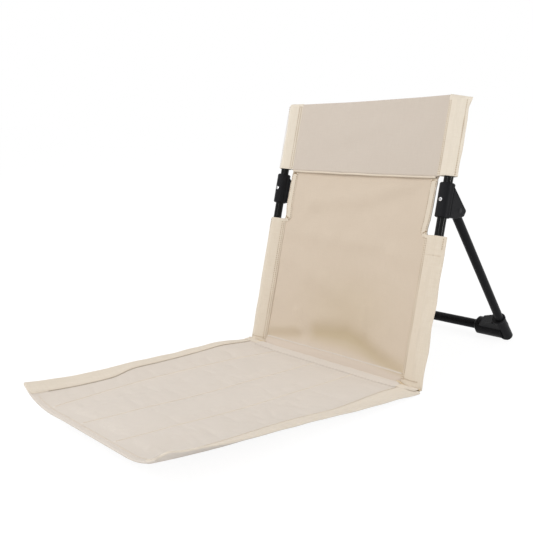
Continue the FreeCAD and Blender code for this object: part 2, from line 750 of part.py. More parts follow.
def seat_binding(label, side):
    """A wide tape folded over the mat's curled side."""
    wires = []
    thick, width, lap = dim("binding_thick"), dim("binding_width"), dim("sewn_lap")
    for distance in row_distances(dim("seat_gap"), dim("seat_length")):
        edge, _, along, normal, _ = mat_side(distance, side)
        start = edge - along * lap - normal * (thick - dim("mat_edge")) / 2
        end = start + along * width
        nose = end + normal * thick / 2 + along * thick / 3
        wires.append(Part.Wire([line(start, end), arc(end, nose, end + normal * thick),
                                line(end + normal * thick, start + normal * thick),
                                line(start + normal * thick, start)]))
    return loft(label, wires)


# Every sub-part, under the name of its file

SINGLE = {
    "bracket_rivets": bracket_rivets,
    "back_panel": back_panel,
    "headrest_panel": headrest_panel,
    "headrest_hem": headrest_hem,
    "fold_welt": fold_welt,
    "crossbar": crossbar,
    "seat_mat": seat_mat,
    "seat_front_hem": seat_front_hem,
}
PAIRED = {
    "upright_tube": upright_tube,
    "upright_top_plug": lambda label, side: tube_plug(label, side, True),
    "upright_foot_plug": lambda label, side: tube_plug(label, side, False),
    "hinge_bracket": hinge_bracket,
    "hinge_pin": hinge_pin,
    "lower_sleeve": lower_sleeve,
    "head_sleeve": head_sleeve,
    "notch_binding": notch_binding,
    "strut_tube": strut_tube,
    "strut_plug": strut_plug,
    "corner_foot": corner_foot,
    "seat_binding": seat_binding,
}
nodes = {name: make(name) for name, make in SINGLE.items()}
for name, make in PAIRED.items():
    for side_name, side in SIDES.items():
        label = "%s_%s" % (name, side_name)
        nodes[label] = make(label, side)
doc.recompute()

# Nothing is written unless every object is sound
for item in doc.Objects:
    if "Invalid" in item.State or "Error" in item.State:
        raise RuntimeError("%s failed: %s" % (item.Label, item.State))
for name, item in nodes.items():
    if item.Shape.isNull() or not item.Shape.isValid():
        raise RuntimeError(name + " has no valid shape")

os.makedirs("parts", exist_ok=True)
whole = FreeCAD.BoundBox()
for name, item in nodes.items():
    item.Shape.exportStep("parts/%s.step" % name)
    whole.add(item.Shape.BoundBox)
print("%d sub-parts, box %s" % (len(nodes), whole))
for side_name, side in SIDES.items():
    print("hinge pin", side_name, pivot_point(side), "strut foot", foot_point(side))
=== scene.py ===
# %% [markdown]
# A legless folding chair: a padded cloth mat on the ground, a cloth back on two
# upright tubes, and a swinging rear frame that props the back up. The rigid pieces
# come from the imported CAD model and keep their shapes. This lesson sews the cloth
# around them, gives every piece its finish, and sets up the floor, light and camera.

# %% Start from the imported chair
import math
import bpy
import numpy as np
from mathutils import Matrix, Vector


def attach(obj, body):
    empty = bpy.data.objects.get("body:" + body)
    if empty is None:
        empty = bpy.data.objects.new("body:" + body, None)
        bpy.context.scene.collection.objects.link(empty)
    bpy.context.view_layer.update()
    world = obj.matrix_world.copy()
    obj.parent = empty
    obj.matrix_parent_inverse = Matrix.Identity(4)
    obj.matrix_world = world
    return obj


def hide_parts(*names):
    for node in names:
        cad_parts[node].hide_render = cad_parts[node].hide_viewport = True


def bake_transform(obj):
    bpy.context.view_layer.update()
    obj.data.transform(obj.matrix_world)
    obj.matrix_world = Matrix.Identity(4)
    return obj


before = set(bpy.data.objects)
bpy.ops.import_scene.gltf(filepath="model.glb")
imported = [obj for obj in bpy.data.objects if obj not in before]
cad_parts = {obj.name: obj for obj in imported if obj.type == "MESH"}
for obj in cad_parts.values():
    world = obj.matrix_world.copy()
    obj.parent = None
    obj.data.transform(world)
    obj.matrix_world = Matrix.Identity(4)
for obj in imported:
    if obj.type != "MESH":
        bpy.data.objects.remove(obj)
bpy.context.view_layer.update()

# %% [markdown]
# The back leans, so it is easier to think in its own directions: "up" along the
# uprights, "behind" square to them, and x across the chair. Modelling upright and
# rotating each piece would do too, but a form that gives the place itself can be set
# against the frame at once. The sizes here are the CAD model's, in metres.

# %% The chair's main sizes
LEAN = math.radians(17)
FOLD_Y = 0.08275
BASE = 0.0088
HALF_SPAN = 0.2
SIDES = {"left": -1, "right": 1}


def on_back(x, behind, up):
    """Points of the back's own frame, as an array with a row for each."""
    x, behind, up = np.broadcast_arrays(x, behind, up)
    y = FOLD_Y + up * math.sin(LEAN) + behind * math.cos(LEAN)
    z = BASE + up * math.cos(LEAN) - behind * math.sin(LEAN)
    return np.stack([x, y, z], axis=-1)


def ripples(a, b, seed, wave, count=7):
    """Soft unevenness about as high as 1: a sum of waves in fixed random directions."""
    draw = np.random.default_rng(seed)
    total = np.zeros(np.broadcast(a, b).shape)
    for _ in range(count):
        turn = draw.uniform(0, 2 * math.pi)
        phase = draw.uniform(0, 7)
        stretch = draw.uniform(0.7, 1.5)
        along = a * math.cos(turn) + b * math.sin(turn)
        total = total + np.sin(along * 2 * math.pi / (wave * stretch) + phase)
    return total / math.sqrt(count)


def ease(value, start, end):
    """0 before start, 1 after end, and a smooth step between."""
    share = np.clip((value - start) / (end - start), 0, 1)
    return share * share * (3 - 2 * share)


print("top of the back at", on_back(0, 0, 0.49).round(4))

# %% [markdown]
# Cloth starts as a flat grid, as it is cut from the roll. A form then says where each
# point of the grid goes. The grid's UV map keeps the flat sizes in metres, so that a
# weave has the same threads on every piece, whichever way the piece is bent. A piece
# that is extruded in place has no such flat cut.

# %% Cutting cloth
def only(piece):
    """Select one object and nothing else."""
    bpy.ops.object.select_all(action="DESELECT")
    piece.select_set(True)
    bpy.context.view_layer.objects.active = piece


def apply_all(piece):
    """Apply all of a piece's modifiers in their order."""
    only(piece)
    for name in [m.name for m in piece.modifiers]:
        bpy.ops.object.modifier_apply(modifier=name)


def points_of(piece):
    """A piece's points as an array with a row for each."""
    flat = np.zeros(len(piece.data.vertices) * 3)
    piece.data.vertices.foreach_get("co", flat)
    return flat.reshape(-1, 3)


def set_points(piece, points):
    """Move a piece's points to these places."""
    piece.data.vertices.foreach_set("co", np.asarray(points, float).ravel())
    piece.data.update()


def cut_cloth(name, columns, rows, width, length, form):
    """A flat cut of cloth, put in place by form(s, t), which run from 0 to 1 across and along."""
    bpy.ops.object.select_all(action="DESELECT")
    bpy.ops.mesh.primitive_grid_add(x_subdivisions=columns, y_subdivisions=rows, size=2)
    piece = bpy.context.object
    piece.name = piece.data.name = name
    flat = points_of(piece)
    set_points(piece, form((flat[:, 0] + 1) / 2, (flat[:, 1] + 1) / 2))
    layer = piece.data.uv_layers[0].data
    uv = np.zeros(len(layer) * 2)
    layer.foreach_get("uv", uv)
    uv = (uv.reshape(-1, 2) - 0.5) * (width, length)
    layer.foreach_set("uv", uv.ravel())
    return piece


def grid_shares(columns, rows):
    """The shares across and along of a grid's points, in the order that Blender keeps them."""
    order = np.arange((columns + 1) * (rows + 1))
    return (order % (columns + 1)) / columns, (order // (columns + 1)) / rows


def mark(piece, name, values):
    """Keep a number for each point of a piece, for its finish to read."""
    layer = piece.data.attributes.new(name, "FLOAT", "POINT")
    layer.data.foreach_set("value", np.asarray(values, float))


print("cloth is cut as grids, with UV maps in metres")

# %% [markdown]
# A sewn piece is finished as by hand. Edit-mode operators weld it, close it and turn
# its faces outwards, a Subdivision Surface softens its bends, and Solidify gives a
# sheet the thickness of its cloth. The modifiers are applied at once, so that the next
# step works on real points.

# %% Closing and softening
def edit(piece, *steps):
    """Run edit-mode operators on the whole piece, each given with its options."""
    only(piece)
    bpy.ops.object.mode_set(mode="EDIT")
    for step, options in steps:
        bpy.ops.mesh.select_all(action="SELECT")
        step(**options)
    bpy.ops.object.mode_set(mode="OBJECT")


def fill_ends(piece):
    """Close every open rim of a sewn tube and turn its faces outwards."""
    only(piece)
    bpy.ops.object.mode_set(mode="EDIT")
    bpy.ops.mesh.select_all(action="SELECT")
    bpy.ops.mesh.remove_doubles(threshold=1e-6)
    bpy.ops.mesh.fill_holes(sides=0)
    bpy.ops.mesh.select_all(action="SELECT")
    bpy.ops.mesh.normals_make_consistent(inside=False)
    bpy.ops.object.mode_set(mode="OBJECT")


def soften(piece):
    """Round a piece's bends and shade it smooth."""
    smooth = piece.modifiers.new("soften", "SUBSURF")
    smooth.levels = smooth.render_levels = 1
    apply_all(piece)
    bpy.ops.object.shade_smooth()


def thicken(piece, thick, offset=0.0):
    """Give a sheet its real thickness."""
    wall = piece.modifiers.new("thickness", "SOLIDIFY")
    wall.thickness = thick
    wall.offset = offset
    apply_all(piece)


print("pieces are welded, thickened and softened with modifiers that are applied")

# %% [markdown]
# Sleeves, hems and tapes are all tubes of cloth. A tube's section is an outline with
# its points spread evenly, and its cloth is one flat cut that is rolled into it. A
# bevelled curve makes tubes too, but its section is only scaled or turned on the way.

# %% Tubes of cloth
def outline(corners, count):
    """Points spread evenly round a closed outline, with the first one repeated at the end."""
    loop = np.array(list(corners) + [corners[0]], float)
    along = np.concatenate([[0], np.cumsum(np.linalg.norm(np.diff(loop, axis=0), axis=1))])
    at = np.linspace(0, along[-1], count)
    return np.stack([np.interp(at, along, loop[:, k]) for k in (0, 1)], axis=1)


def girth(section):
    """The length round an outline."""
    return float(np.linalg.norm(np.diff(section, axis=0), axis=1).sum())


def sew_tube(name, section, rows, length, place):
    """Cloth sewn into a tube: place(a, b, t) takes a point of the section and the share of the length."""
    count = len(section)

    def form(s, t):
        at = np.clip(np.rint(s * (count - 1)).astype(int), 0, count - 1)
        return place(section[at, 0], section[at, 1], t)

    return cut_cloth(name, count - 1, rows, girth(section), length, form)


print("a tube's cloth is as wide as its section's outline is long")

# %% [markdown]
# A finish is a node tree, and sums are easier to read than boxes and wires. So one
# class wraps a socket and turns Python's operators into Math nodes.

# %% Shader sums
MATHS = {"add": "ADD", "sub": "SUBTRACT", "mul": "MULTIPLY", "lt": "LESS_THAN", "gt": "GREATER_THAN"}


class Wire:
    """An output socket that takes part in sums."""

    def __init__(self, finish, socket):
        self.finish = finish
        self.socket = socket

    def maths(self, operation, *values):
        return self.finish.make("ShaderNodeMath", {"operation": operation}, dict(enumerate(values)))

    def __abs__(self):
        return self.maths("ABSOLUTE", self)

    def sine(self):
        return self.maths("SINE", self)

    def root(self):
        return self.maths("SQRT", self)

    def whole(self):
        return self.maths("ROUND", self)

    def clamped(self):
        limited = self.maths("ADD", self, 0.0)
        limited.socket.node.use_clamp = True
        return limited


def operator(symbol, reflected):
    """Give Wire one of Python's operators, and its reflected form, as in 1 - mask."""
    def forward(self, other):
        return self.maths(MATHS[symbol], self, other)

    def backward(self, other):
        return self.maths(MATHS[symbol], other, self)

    setattr(Wire, "__%s__" % symbol, forward)
    if reflected:
        setattr(Wire, "__r%s__" % symbol, backward)


for symbol in MATHS:
    operator(symbol, symbol not in ("lt", "gt"))
print("shader sums ready:", ", ".join(sorted(MATHS)))

# %% [markdown]
# A finish holds the nodes of a material, or of the world. Its make method adds any
# node: the settings are set first, and the sockets then take plain values or wires.

# %% Finishes and their nodes
class Finish:
    """The nodes of a new material or world, made one by one."""

    def __init__(self, block):
        self.block = block
        block.use_nodes = True
        self.nodes = block.node_tree.nodes
        self.links = block.node_tree.links
        self.shader = self.nodes.get("Principled BSDF")

    def make(self, kind, settings, inputs, out=0):
        node = self.nodes.new(kind)
        for name, value in settings.items():
            setattr(node, name, value)
        self.feed(node, inputs)
        return Wire(self, node.outputs[out])

    def feed(self, node, inputs):
        for name, value in inputs.items():
            if isinstance(value, Wire):
                self.links.new(value.socket, node.inputs[name])
            else:
                node.inputs[name].default_value = value

    def surface(self, **inputs):
        """Values or wires for the shader's own sockets."""
        self.feed(self.shader, {name.replace("_", " "): value for name, value in inputs.items()})
        return self.block

    def place(self, kind="Object"):
        return self.make("ShaderNodeTexCoord", {}, {}, kind)

    def number(self, name):
        """A number that mark() kept on the piece, or 0 where it kept none."""
        return self.make("ShaderNodeAttribute", {"attribute_name": name}, {}, "Fac")

    def split(self, vector):
        parts = self.make("ShaderNodeSeparateXYZ", {}, {0: vector}).socket.node
        return [Wire(self, socket) for socket in parts.outputs]

    def noise(self, vector, scale, detail=3.0, rough=0.5):
        return self.make("ShaderNodeTexNoise", {}, {"Vector": vector, "Scale": scale, "Detail": detail,
                                                    "Roughness": rough})

    def stretched(self, vector, scale):
        return self.make("ShaderNodeMapping", {}, {"Vector": vector, "Scale": scale})

    def mix(self, factor, first, second):
        return self.make("ShaderNodeMix", {"data_type": "RGBA", "clamp_factor": True},
                         {0: factor, 6: first, 7: second}, 2)

    def bump(self, height, strength, distance):
        return self.make("ShaderNodeBump", {}, {"Height": height, "Strength": strength, "Distance": distance})


def tint(code):
    """A screen colour such as "D5C6B5" as the light that it stands for."""
    parts = [int(code[i:i + 2], 16) / 255 for i in (0, 2, 4)]
    light = [p / 12.92 if p <= 0.04045 else ((p + 0.055) / 1.055) ** 2.4 for p in parts]
    return (*light, 1.0)


print("the screen colour D5C6B5 as light:", [round(part, 3) for part in tint("D5C6B5")[:3]])

# %% [markdown]
# The camera stands at the front right of the chair, a little above it. Its place was
# worked out from the uprights, the bracket, the foot and the mat's corners as the
# photograph shows them, because a camera set by eye is some pixels off, and so is every
# comparison that is made with it. The picture is 533 by 533.

# %% Camera
PICTURE = 533
FOCAL_PX = 756.82
SHIFT_PX = (1.37, -3.52)
AZIMUTH, ELEVATION, ROLL = (math.radians(a) for a in (48.644, 12.268, -3.295))
CAMERA_PLACE = (0.94557, -0.88532, 0.49171)

lens = bpy.data.cameras.new("photo_camera")
lens.sensor_width = 36
lens.lens = FOCAL_PX / PICTURE * lens.sensor_width
lens.shift_x = -SHIFT_PX[0] / PICTURE
lens.shift_y = SHIFT_PX[1] / PICTURE
lens.clip_start = 0.05
camera = bpy.data.objects.new("photo_camera", lens)
bpy.context.scene.collection.objects.link(camera)
towards = Vector((math.sin(AZIMUTH) * math.cos(ELEVATION), -math.cos(AZIMUTH) * math.cos(ELEVATION),
                  math.sin(ELEVATION)))
level = Vector((math.cos(AZIMUTH), math.sin(AZIMUTH), 0))
upward = towards.cross(level)
across = level * math.cos(ROLL) + upward * math.sin(ROLL)
upward = upward * math.cos(ROLL) - level * math.sin(ROLL)
turn = Matrix((across, upward, towards)).transposed().to_4x4()
camera.matrix_world = Matrix.Translation(CAMERA_PLACE) @ turn
bpy.context.scene.camera = camera
print("lens %.2f mm" % lens.lens)

# %% [markdown]
# The photograph has a white studio with hardly any shadow. The floor shows itself as
# nearly white to the camera and to glossy reflections, and keeps a little real
# diffuse light, so that the chair's soft shadow still falls on it. Lamps could light it
# up to white instead, but they would wash out the cloth as well.

# %% Floor and world
WHITE = (1, 1, 1, 1)
FLOOR_GLOW, FLOOR_GLOW_SHARE = 1.14, 0.8
WORLD_LIGHT = 0.55


def seen_directly(finish):
    """1 where the camera, a reflection or a transparent piece looks straight at it."""
    path = finish.make("ShaderNodeLightPath", {}, {}).socket.node
    rays = [Wire(finish, path.outputs[n]) for n in ("Is Camera Ray", "Is Glossy Ray", "Is Transmission Ray")]
    return (rays[0] + rays[1] + rays[2]).clamped()


floor_finish = Finish(bpy.data.materials.new("studio_floor"))
floor_finish.surface(Base_Color=(0.8, 0.8, 0.8, 1), Roughness=0.9, Specular_IOR_Level=0.0)
glow = floor_finish.make("ShaderNodeEmission", {}, {"Color": WHITE, "Strength": FLOOR_GLOW})
share = seen_directly(floor_finish) * FLOOR_GLOW_SHARE
diffuse = Wire(floor_finish, floor_finish.shader.outputs[0])
lit = floor_finish.make("ShaderNodeMixShader", {}, {0: share, 1: diffuse, 2: glow})
floor_finish.links.new(lit.socket, floor_finish.nodes["Material Output"].inputs["Surface"])

bpy.ops.object.select_all(action="DESELECT")
bpy.ops.mesh.primitive_plane_add(size=40, location=(0, 0, -0.0005))
floor = bpy.context.object
floor.name = "floor"
floor.data.materials.append(floor_finish.block)

sky = Finish(bpy.data.worlds.new("studio"))
bpy.context.scene.world = sky.block
strength = WORLD_LIGHT + seen_directly(sky) * (1 - WORLD_LIGHT)
sky.feed(sky.nodes["Background"], {"Color": WHITE, "Strength": strength})
print("floor and world made")

# %% [markdown]
# A large soft lamp at the front left lights the cloth. Gloss needs something narrow and
# bright to reflect, so two strips, at the right and in front, give the black tubes
# their streaks.

# %% Lamps
def lamp(name, place, aim, width, height, watts):
    """A flat rectangular lamp that looks at aim."""
    light = bpy.data.lights.new(name, "AREA")
    light.shape = "RECTANGLE"
    light.size = width
    light.size_y = height
    light.energy = watts
    holder = bpy.data.objects.new(name, light)
    bpy.context.scene.collection.objects.link(holder)
    holder.location = place
    holder.rotation_mode = "QUATERNION"
    holder.rotation_quaternion = (Vector(aim) - Vector(place)).to_track_quat("-Z", "Y")


SEAT_MIDDLE, RIGHT_UPRIGHT = (0, 0, 0.15), (0.2, 0.15, 0.35)
lamp("key_softbox", (-1.1, -1.6, 2.2), SEAT_MIDDLE, 1.6, 1.6, 38)
lamp("side_strip", (2.3, 0.4, 0.8), RIGHT_UPRIGHT, 0.16, 1.5, 18)
lamp("front_strip", (0.5, -1.85, 1.0), RIGHT_UPRIGHT, 0.10, 1.4, 5)
bpy.context.scene.view_settings.view_transform = "Standard"
print("three lamps")

# %% [markdown]
# Canvas is a plain weave: threads go over and under each other in both directions.
# The bump follows the flat UV map, so the threads run along each piece. Slubs, which
# are thicker stretches of yarn, make streaks both ways, and a slow noise fades the
# dye a little from place to place. A picture of canvas would blur close up, and waves
# and noise don't. Masks that the pieces carry as numbers lighten the mat's seams,
# paint shade into the back's deep folds and make its lowest edge greyer.

# %% Cloth finishes
THREAD = 0.0009
# How often the streaks change in a metre, across the yarn and along it
FINE, LONG = 700.0, 45.0


def canvas(name, colour, deep, masks=(), slub=0.5):
    """A woven finish from the UV map in metres; deep is the darker tone that the streaks and the slow noise
    mix in.
    """
    finish = Finish(bpy.data.materials.new(name))
    cloth = finish.place("UV")
    across, along, _ = finish.split(cloth)
    turn = 2 * math.pi / THREAD
    weave = (across * turn).sine() * (along * turn).sine()
    lengthwise = finish.noise(finish.stretched(cloth, (FINE, LONG, 1.0)), 1.0, 2.0)
    crosswise = finish.noise(finish.stretched(cloth, (LONG, FINE, 1.0)), 1.0, 2.0)
    streaks = lengthwise + crosswise - 1.0
    faded = finish.noise(finish.place(), 9.0, 2.0) - 0.5
    shade = (streaks * slub + faded * 0.35 + 0.5).clamped()
    colour = finish.mix(shade, tint(deep), tint(colour))
    for mask, mask_colour in masks:
        colour = finish.mix(mask(finish), colour, tint(mask_colour))
    height = weave * 0.35 + streaks * 0.8
    fuzz = finish.noise(finish.place(), 60.0, 3.0)
    return finish.surface(Base_Color=colour, Roughness=0.82 + fuzz * 0.12, Specular_IOR_Level=0.25,
                          Sheen_Weight=0.15, Sheen_Roughness=0.5,
                          Normal=finish.bump(height, 0.5, 0.0003))


def channel_seams(finish):
    """Light on the mat's lengthwise seams, where the channel number is whole, and fading beside them."""
    count = finish.number("channel")
    near = (1.0 - abs(count - count.whole()) * 30.0).clamped()
    return near * (count > 0.5) * (count < 3.5) * 0.55


def painted_fold_shade(finish):
    """Painted shade where the back's cloth lies in deep folds."""
    return finish.number("hollow").clamped()


def aprons(finish):
    """Where the back's lower edge turns forward to the seat, and is greyer and a little darker."""
    return finish.number("apron").clamped()


seat_canvas = canvas("seat_canvas", "DED5CB", "D4CABF", [(channel_seams, "EBE1D6")])
# The back's deep folds take painted shade, and its lowest edge is greyer.
back_canvas = canvas("back_canvas", "D8C9B7", "CDBDAA", [(painted_fold_shade, "C3B296"), (aprons, "D3C5B7")])
head_canvas = canvas("headrest_canvas", "D3C8BC", "C7BBAE")
sleeve_canvas = canvas("sleeve_canvas", "E3D8C8", "D7C9B5", slub=0.8)
cream_canvas = canvas("cream_canvas", "E8DFD0", "DCD0BE", slub=0.8)
roll_canvas = canvas("roll_canvas", "E0CFB4", "CFB996", slub=0.8)
tape_canvas = canvas("tape_canvas", "E5DBCD", "D9CDBC", slub=0.8)
print("seven cloths made")

# %% [markdown]
# Sewing thread is twisted, so its finish slants finely along each stitch, and the
# grooves of the twist are painted darker as shade. Most seams are cream or brown. The
# left side tape's row is darker still: the painted shadow that the tape's inner edge
# casts on the mat.

# %% Threads
def thread(name, colour, deep):
    """Twisted sewing thread: a fine slanting twist along each stitch, with painted shade in its grooves."""
    finish = Finish(bpy.data.materials.new(name))
    x, y, z = finish.split(finish.place())
    twist = ((x + y + z) * 9000.0).sine()
    # The deep colour falls in the twist's grooves, as painted shade.
    colour = finish.mix((twist * 0.5 + 0.5).clamped(), tint(deep), tint(colour))
    return finish.surface(Base_Color=colour, Roughness=0.6, Specular_IOR_Level=0.3,
                          Normal=finish.bump(twist, 0.3, 0.0002))


cream_thread = thread("cream_thread", "E6D9C6", "CDBDA6")
brown_thread = thread("brown_thread", "B79C78", "9A7F5D")
# A dark thread that paints the shadow along the left side tape's inner edge.
shadow_thread = thread("shadow_thread", "8F7858", "6F5A40")
print("three threads made")

# %% [markdown]
# The frame is black, but not one black. The uprights have gloss enamel, the struts
# and crossbar a satin coat, and the moulded fittings the fine spark texture of a
# plastics mould. Three shades of one shader would pass from afar, but peel, dust and
# spark give each finish its own highlight. The rivet is bright steel, and the hole
# where its mandrel broke off is painted dark as its shade.

# %% Frame finishes
RIVET_UP, RIVET_SHADE_RADIUS = 0.3125, 0.0015


def lighter(colour, times):
    """The same colour, this many times as light."""
    return (*(part * times for part in colour[:3]), 1.0)


def enamel(name, colour, rough, ripple, shine):
    """Baked paint: a slight orange peel, and dust that dulls it in patches."""
    finish = Finish(bpy.data.materials.new(name))
    peel = finish.noise(finish.place(), 420.0, 2.0)
    dust = finish.noise(finish.place(), 38.0, 4.0)
    colour = finish.mix(dust, colour, lighter(colour, 1.35))
    return finish.surface(Base_Color=colour, Roughness=rough + (dust - 0.5) * 0.06, Specular_IOR_Level=shine,
                          Normal=finish.bump(peel, ripple, 0.0003))


def moulded(name, colour, grain):
    """Black plastic from a sparked mould."""
    finish = Finish(bpy.data.materials.new(name))
    spark = finish.noise(finish.place(), grain, 4.0, 0.65)
    rub = finish.noise(finish.place(), 55.0, 3.0)
    colour = finish.mix(rub, colour, lighter(colour, 1.6))
    return finish.surface(Base_Color=colour, Roughness=0.32 + spark * 0.16, Specular_IOR_Level=0.08,
                          Normal=finish.bump(spark, 0.35, 0.0004))


def bright_rivet(name):
    """Steel, with painted shade inside the hollow of each rivet's head."""
    finish = Finish(bpy.data.materials.new(name))
    x, y, z = finish.split(finish.place())
    aside = abs(x) - HALF_SPAN
    up = (y - FOLD_Y) * math.sin(LEAN) + (z - BASE) * math.cos(LEAN) - RIVET_UP
    # The hole of each rivet is painted dark and not metallic, as its shade.
    hollow = (aside * aside + up * up).root() < RIVET_SHADE_RADIUS
    scratches = finish.noise(finish.place(), 900.0, 2.0)
    colour = finish.mix(hollow, (0.75, 0.75, 0.76, 1), (0.02, 0.02, 0.02, 1))
    return finish.surface(Base_Color=colour, Metallic=1.0 - hollow, Roughness=0.22 + scratches * 0.16)


FRAME_FINISHES = {
    enamel("gloss_enamel", (0.002, 0.002, 0.002, 1), 0.07, 0.03, 0.16): ["upright_tube"],
    enamel("satin_enamel", (0.009, 0.009, 0.010, 1), 0.34, 0.10, 0.06): ["strut_tube", "crossbar"],
    moulded("sparked_plastic", (0.007, 0.007, 0.008, 1), 1500.0):
        ["hinge_bracket", "corner_foot", "strut_plug"],
    moulded("plug_plastic", (0.012, 0.012, 0.012, 1), 1200.0): ["upright_top_plug", "upright_foot_plug"],
    enamel("pin_enamel", (0.012, 0.012, 0.013, 1), 0.3, 0.08, 0.2): ["hinge_pin"],
    bright_rivet("bright_rivet"): ["bracket_rivets"],
}
painted = 0
for material, starts in FRAME_FINISHES.items():
    for name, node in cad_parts.items():
        if name.startswith(tuple(starts)):
            node.data.materials.clear()
            node.data.materials.append(material)
            painted += 1
print("frame pieces painted:", painted)

# %% [markdown]
# Each sleeve is one piece of cream cloth wrapped round its tube and sewn flat on the
# inner side, with a piped edge outside. A plain cylinder would miss those edges, which
# show from the front. So its section is the tunnel round the tube, with a straight run
# to both edges. The lower sleeves have the wider sewn edge.

# %% The sleeves' sections
PLY = 0.0013
TUNNEL = 0.0099
SEWN_EDGE, WIDE_SEWN_EDGE, PIPED_EDGE, PIPING = -0.024, -0.0275, 0.0155, 0.0019


def sleeve_section(sewn_edge, count=57):
    """The tunnel's outline: outwards from the tube axis, and behind it."""
    def touch(x, half):
        return math.atan2(half, x) + math.copysign(math.acos(TUNNEL / math.hypot(x, half)), x)

    near, far = touch(sewn_edge, PLY), touch(PIPED_EDGE, PIPING)
    rear = [(sewn_edge, PLY)]
    rear += [(TUNNEL * math.cos(a), TUNNEL * math.sin(a)) for a in np.linspace(near, far, 14)]
    rear += [(PIPED_EDGE, PIPING)]
    turns = np.linspace(0.5, math.pi - 0.5, 5)
    nose = [(PIPED_EDGE + PIPING * math.sin(a), PIPING * math.cos(a)) for a in turns]
    front = [(x, -back) for x, back in reversed(rear)]
    return outline([(sewn_edge, 0.0)] + rear + nose + front, count)


HEAD_SECTION = sleeve_section(SEWN_EDGE)
LOWER_SECTION = sleeve_section(WIDE_SEWN_EDGE)


def sleeve_front(a, section=LOWER_SECTION):
    """How far in front of the tube axis the sleeve's face is, this far out from the axis."""
    face = section[section[:, 1] <= 0]
    order = np.argsort(face[:, 0])
    return np.interp(a, face[order, 0], -face[order, 1])


print("sleeves cut %.1f and %.1f mm round" % (girth(LOWER_SECTION) * 1000, girth(HEAD_SECTION) * 1000))

# %% [markdown]
# A sleeve is cut as a rectangle, rolled into its section and sewn. The lower sleeves
# are closed at the bottom, and the head sleeves at the top, where the cloth is pinched
# flat. The headrest hangs a little askew, and the tops of the head sleeves with it.

# %% Sew the sleeves
END_ROUND = 0.0045
SLACK = 0.0005
TILT_AT = (-0.217, -0.180, 0, 0.176, 0.217)
TILT = (-0.0025, -0.0015, 0.001, 0.0042, -0.0026)


def top_tilt(x):
    """How much higher the headrest's top is here: most at the right, and less at both outer edges."""
    return np.interp(x, TILT_AT, TILT)


def sew_sleeve(name, side, section, low, high, closed_low, seed, material, flare=0.0, narrow=0.0):
    """A tunnel from low to high up the upright, sewn flat at its closed end."""
    def place(a, b, t):
        reach = (t if closed_low else 1 - t) ** 1.6 * (high - low)
        up = low + reach if closed_low else high - reach
        round_off = np.sqrt(1 - (1 - np.clip(reach / END_ROUND, 0, 1)) ** 2)
        outer = np.clip(a / PIPED_EDGE, 0, 1) ** 2
        inner = np.clip(a / SEWN_EDGE, 0, 1) ** 2
        slack = ripples(up, a * 1.2, seed, 0.06) * SLACK * (1 - 0.8 * inner)
        wave = ripples(up, 0 * up, seed + 1, 0.05, 5) * SLACK * outer
        spread = flare * ease(up, high - 0.022, high) * outer - narrow * outer ** 3
        askew = top_tilt(side * (HALF_SPAN + a)) * (not closed_low) * ease(up, high - 0.06, high)
        return on_back(side * (HALF_SPAN + a + wave + spread), b * round_off + slack + wave, up + askew)

    piece = sew_tube(name, section, 64, high - low, place)
    edit(piece, (bpy.ops.mesh.remove_doubles, {"threshold": 1e-6}),
         (bpy.ops.mesh.normals_make_consistent, {"inside": False}))
    thicken(piece, PLY, -1.0)
    soften(piece)
    return finish_piece(piece, material, "back_frame")


def finish_piece(piece, material, body):
    """Give a sewn piece its material and its body."""
    piece.data.materials.append(material)
    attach(piece, body)
    return piece


LOWER = {"left": (-0.006, 0.252), "right": (-0.0085, 0.252)}
HEAD = (0.353, 0.490)
HEAD_EDGE = {"left": {"narrow": 0.003}, "right": {"flare": 0.0035}}
for side_name, side in SIDES.items():
    low, high = LOWER[side_name]
    lower = sew_sleeve("lower_sleeve_cloth_" + side_name, side, LOWER_SECTION, low, high, True, 11 + side,
                       sleeve_canvas)
    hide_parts("lower_sleeve_" + side_name)
    head = sew_sleeve("head_sleeve_cloth_" + side_name, side, HEAD_SECTION, *HEAD, False, 21 + side,
                      cream_canvas, **HEAD_EDGE[side_name])
    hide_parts("head_sleeve_" + side_name)
print("four sleeves sewn")

# %% [markdown]
# The lower back panel hangs between the uprights and sags behind them. Its lower
# edge turns forward to the fold. Where a sitter leans, the cloth is pulled into soft
# slanting folds, and it is slack just above the fold. A simulation would fold it
# somewhere, but these folds have known places. So each one is drawn as a line with a
# height and a width, and all of them are added up.

# %% Folds of the back
# Folds of the cloth: height, width, then points (x, up) along the fold, all in millimetres.
# A height above 0 stands out to the front, and one below 0 is a hollow.
FOLDS = [
    (3.0, 17, [(-175, 228), (-28, 226), (75, 221), (165, 203)]),
    (3.6, 21, [(-178, 186), (-76, 147), (6, 114), (60, 92), (120, 78)]),
    (2.2, 15, [(-115, 293), (16, 311), (150, 350)]),
    (-2.0, 15, [(-110, 264), (22, 283), (155, 327)]),
    (-4.2, 15.5, [(-62, 36), (21, 46), (64, 38), (108, 22), (175, 8)]),
    (2.6, 16, [(-60, 68), (6, 80), (57, 72), (105, 50), (172, 26)]),
    (-2.6, 10, [(-172, 13), (-105, 25), (-90, 24)]),
    (1.8, 9, [(-172, 28), (-108, 40), (-95, 39)]),
    (2.6, 7, [(-108, 74), (-82, 46), (-57, 21), (-30, 6)]),
    (1.2, 6, [(58, 104), (67, 64)]),
    (1.6, 12, [(94, 169), (145, 150)]),
    (1.3, 10, [(108, 110), (150, 100)]),
]
FOLD_DEPTH = 0.9


def beside(line, width, x, up):
    """1 on a line given in millimetres, fading to both sides of it."""
    line = np.array(line) / 1000
    away = np.full(np.broadcast(x, up).shape, 9.0)
    for start, end in zip(line, line[1:]):
        step = end - start
        share = np.clip(((x - start[0]) * step[0] + (up - start[1]) * step[1]) / (step @ step), 0, 1)
        away = np.minimum(away, np.hypot(x - start[0] - share * step[0], up - start[1] - share * step[1]))
    return np.exp(-(away * 1000 / width) ** 2)


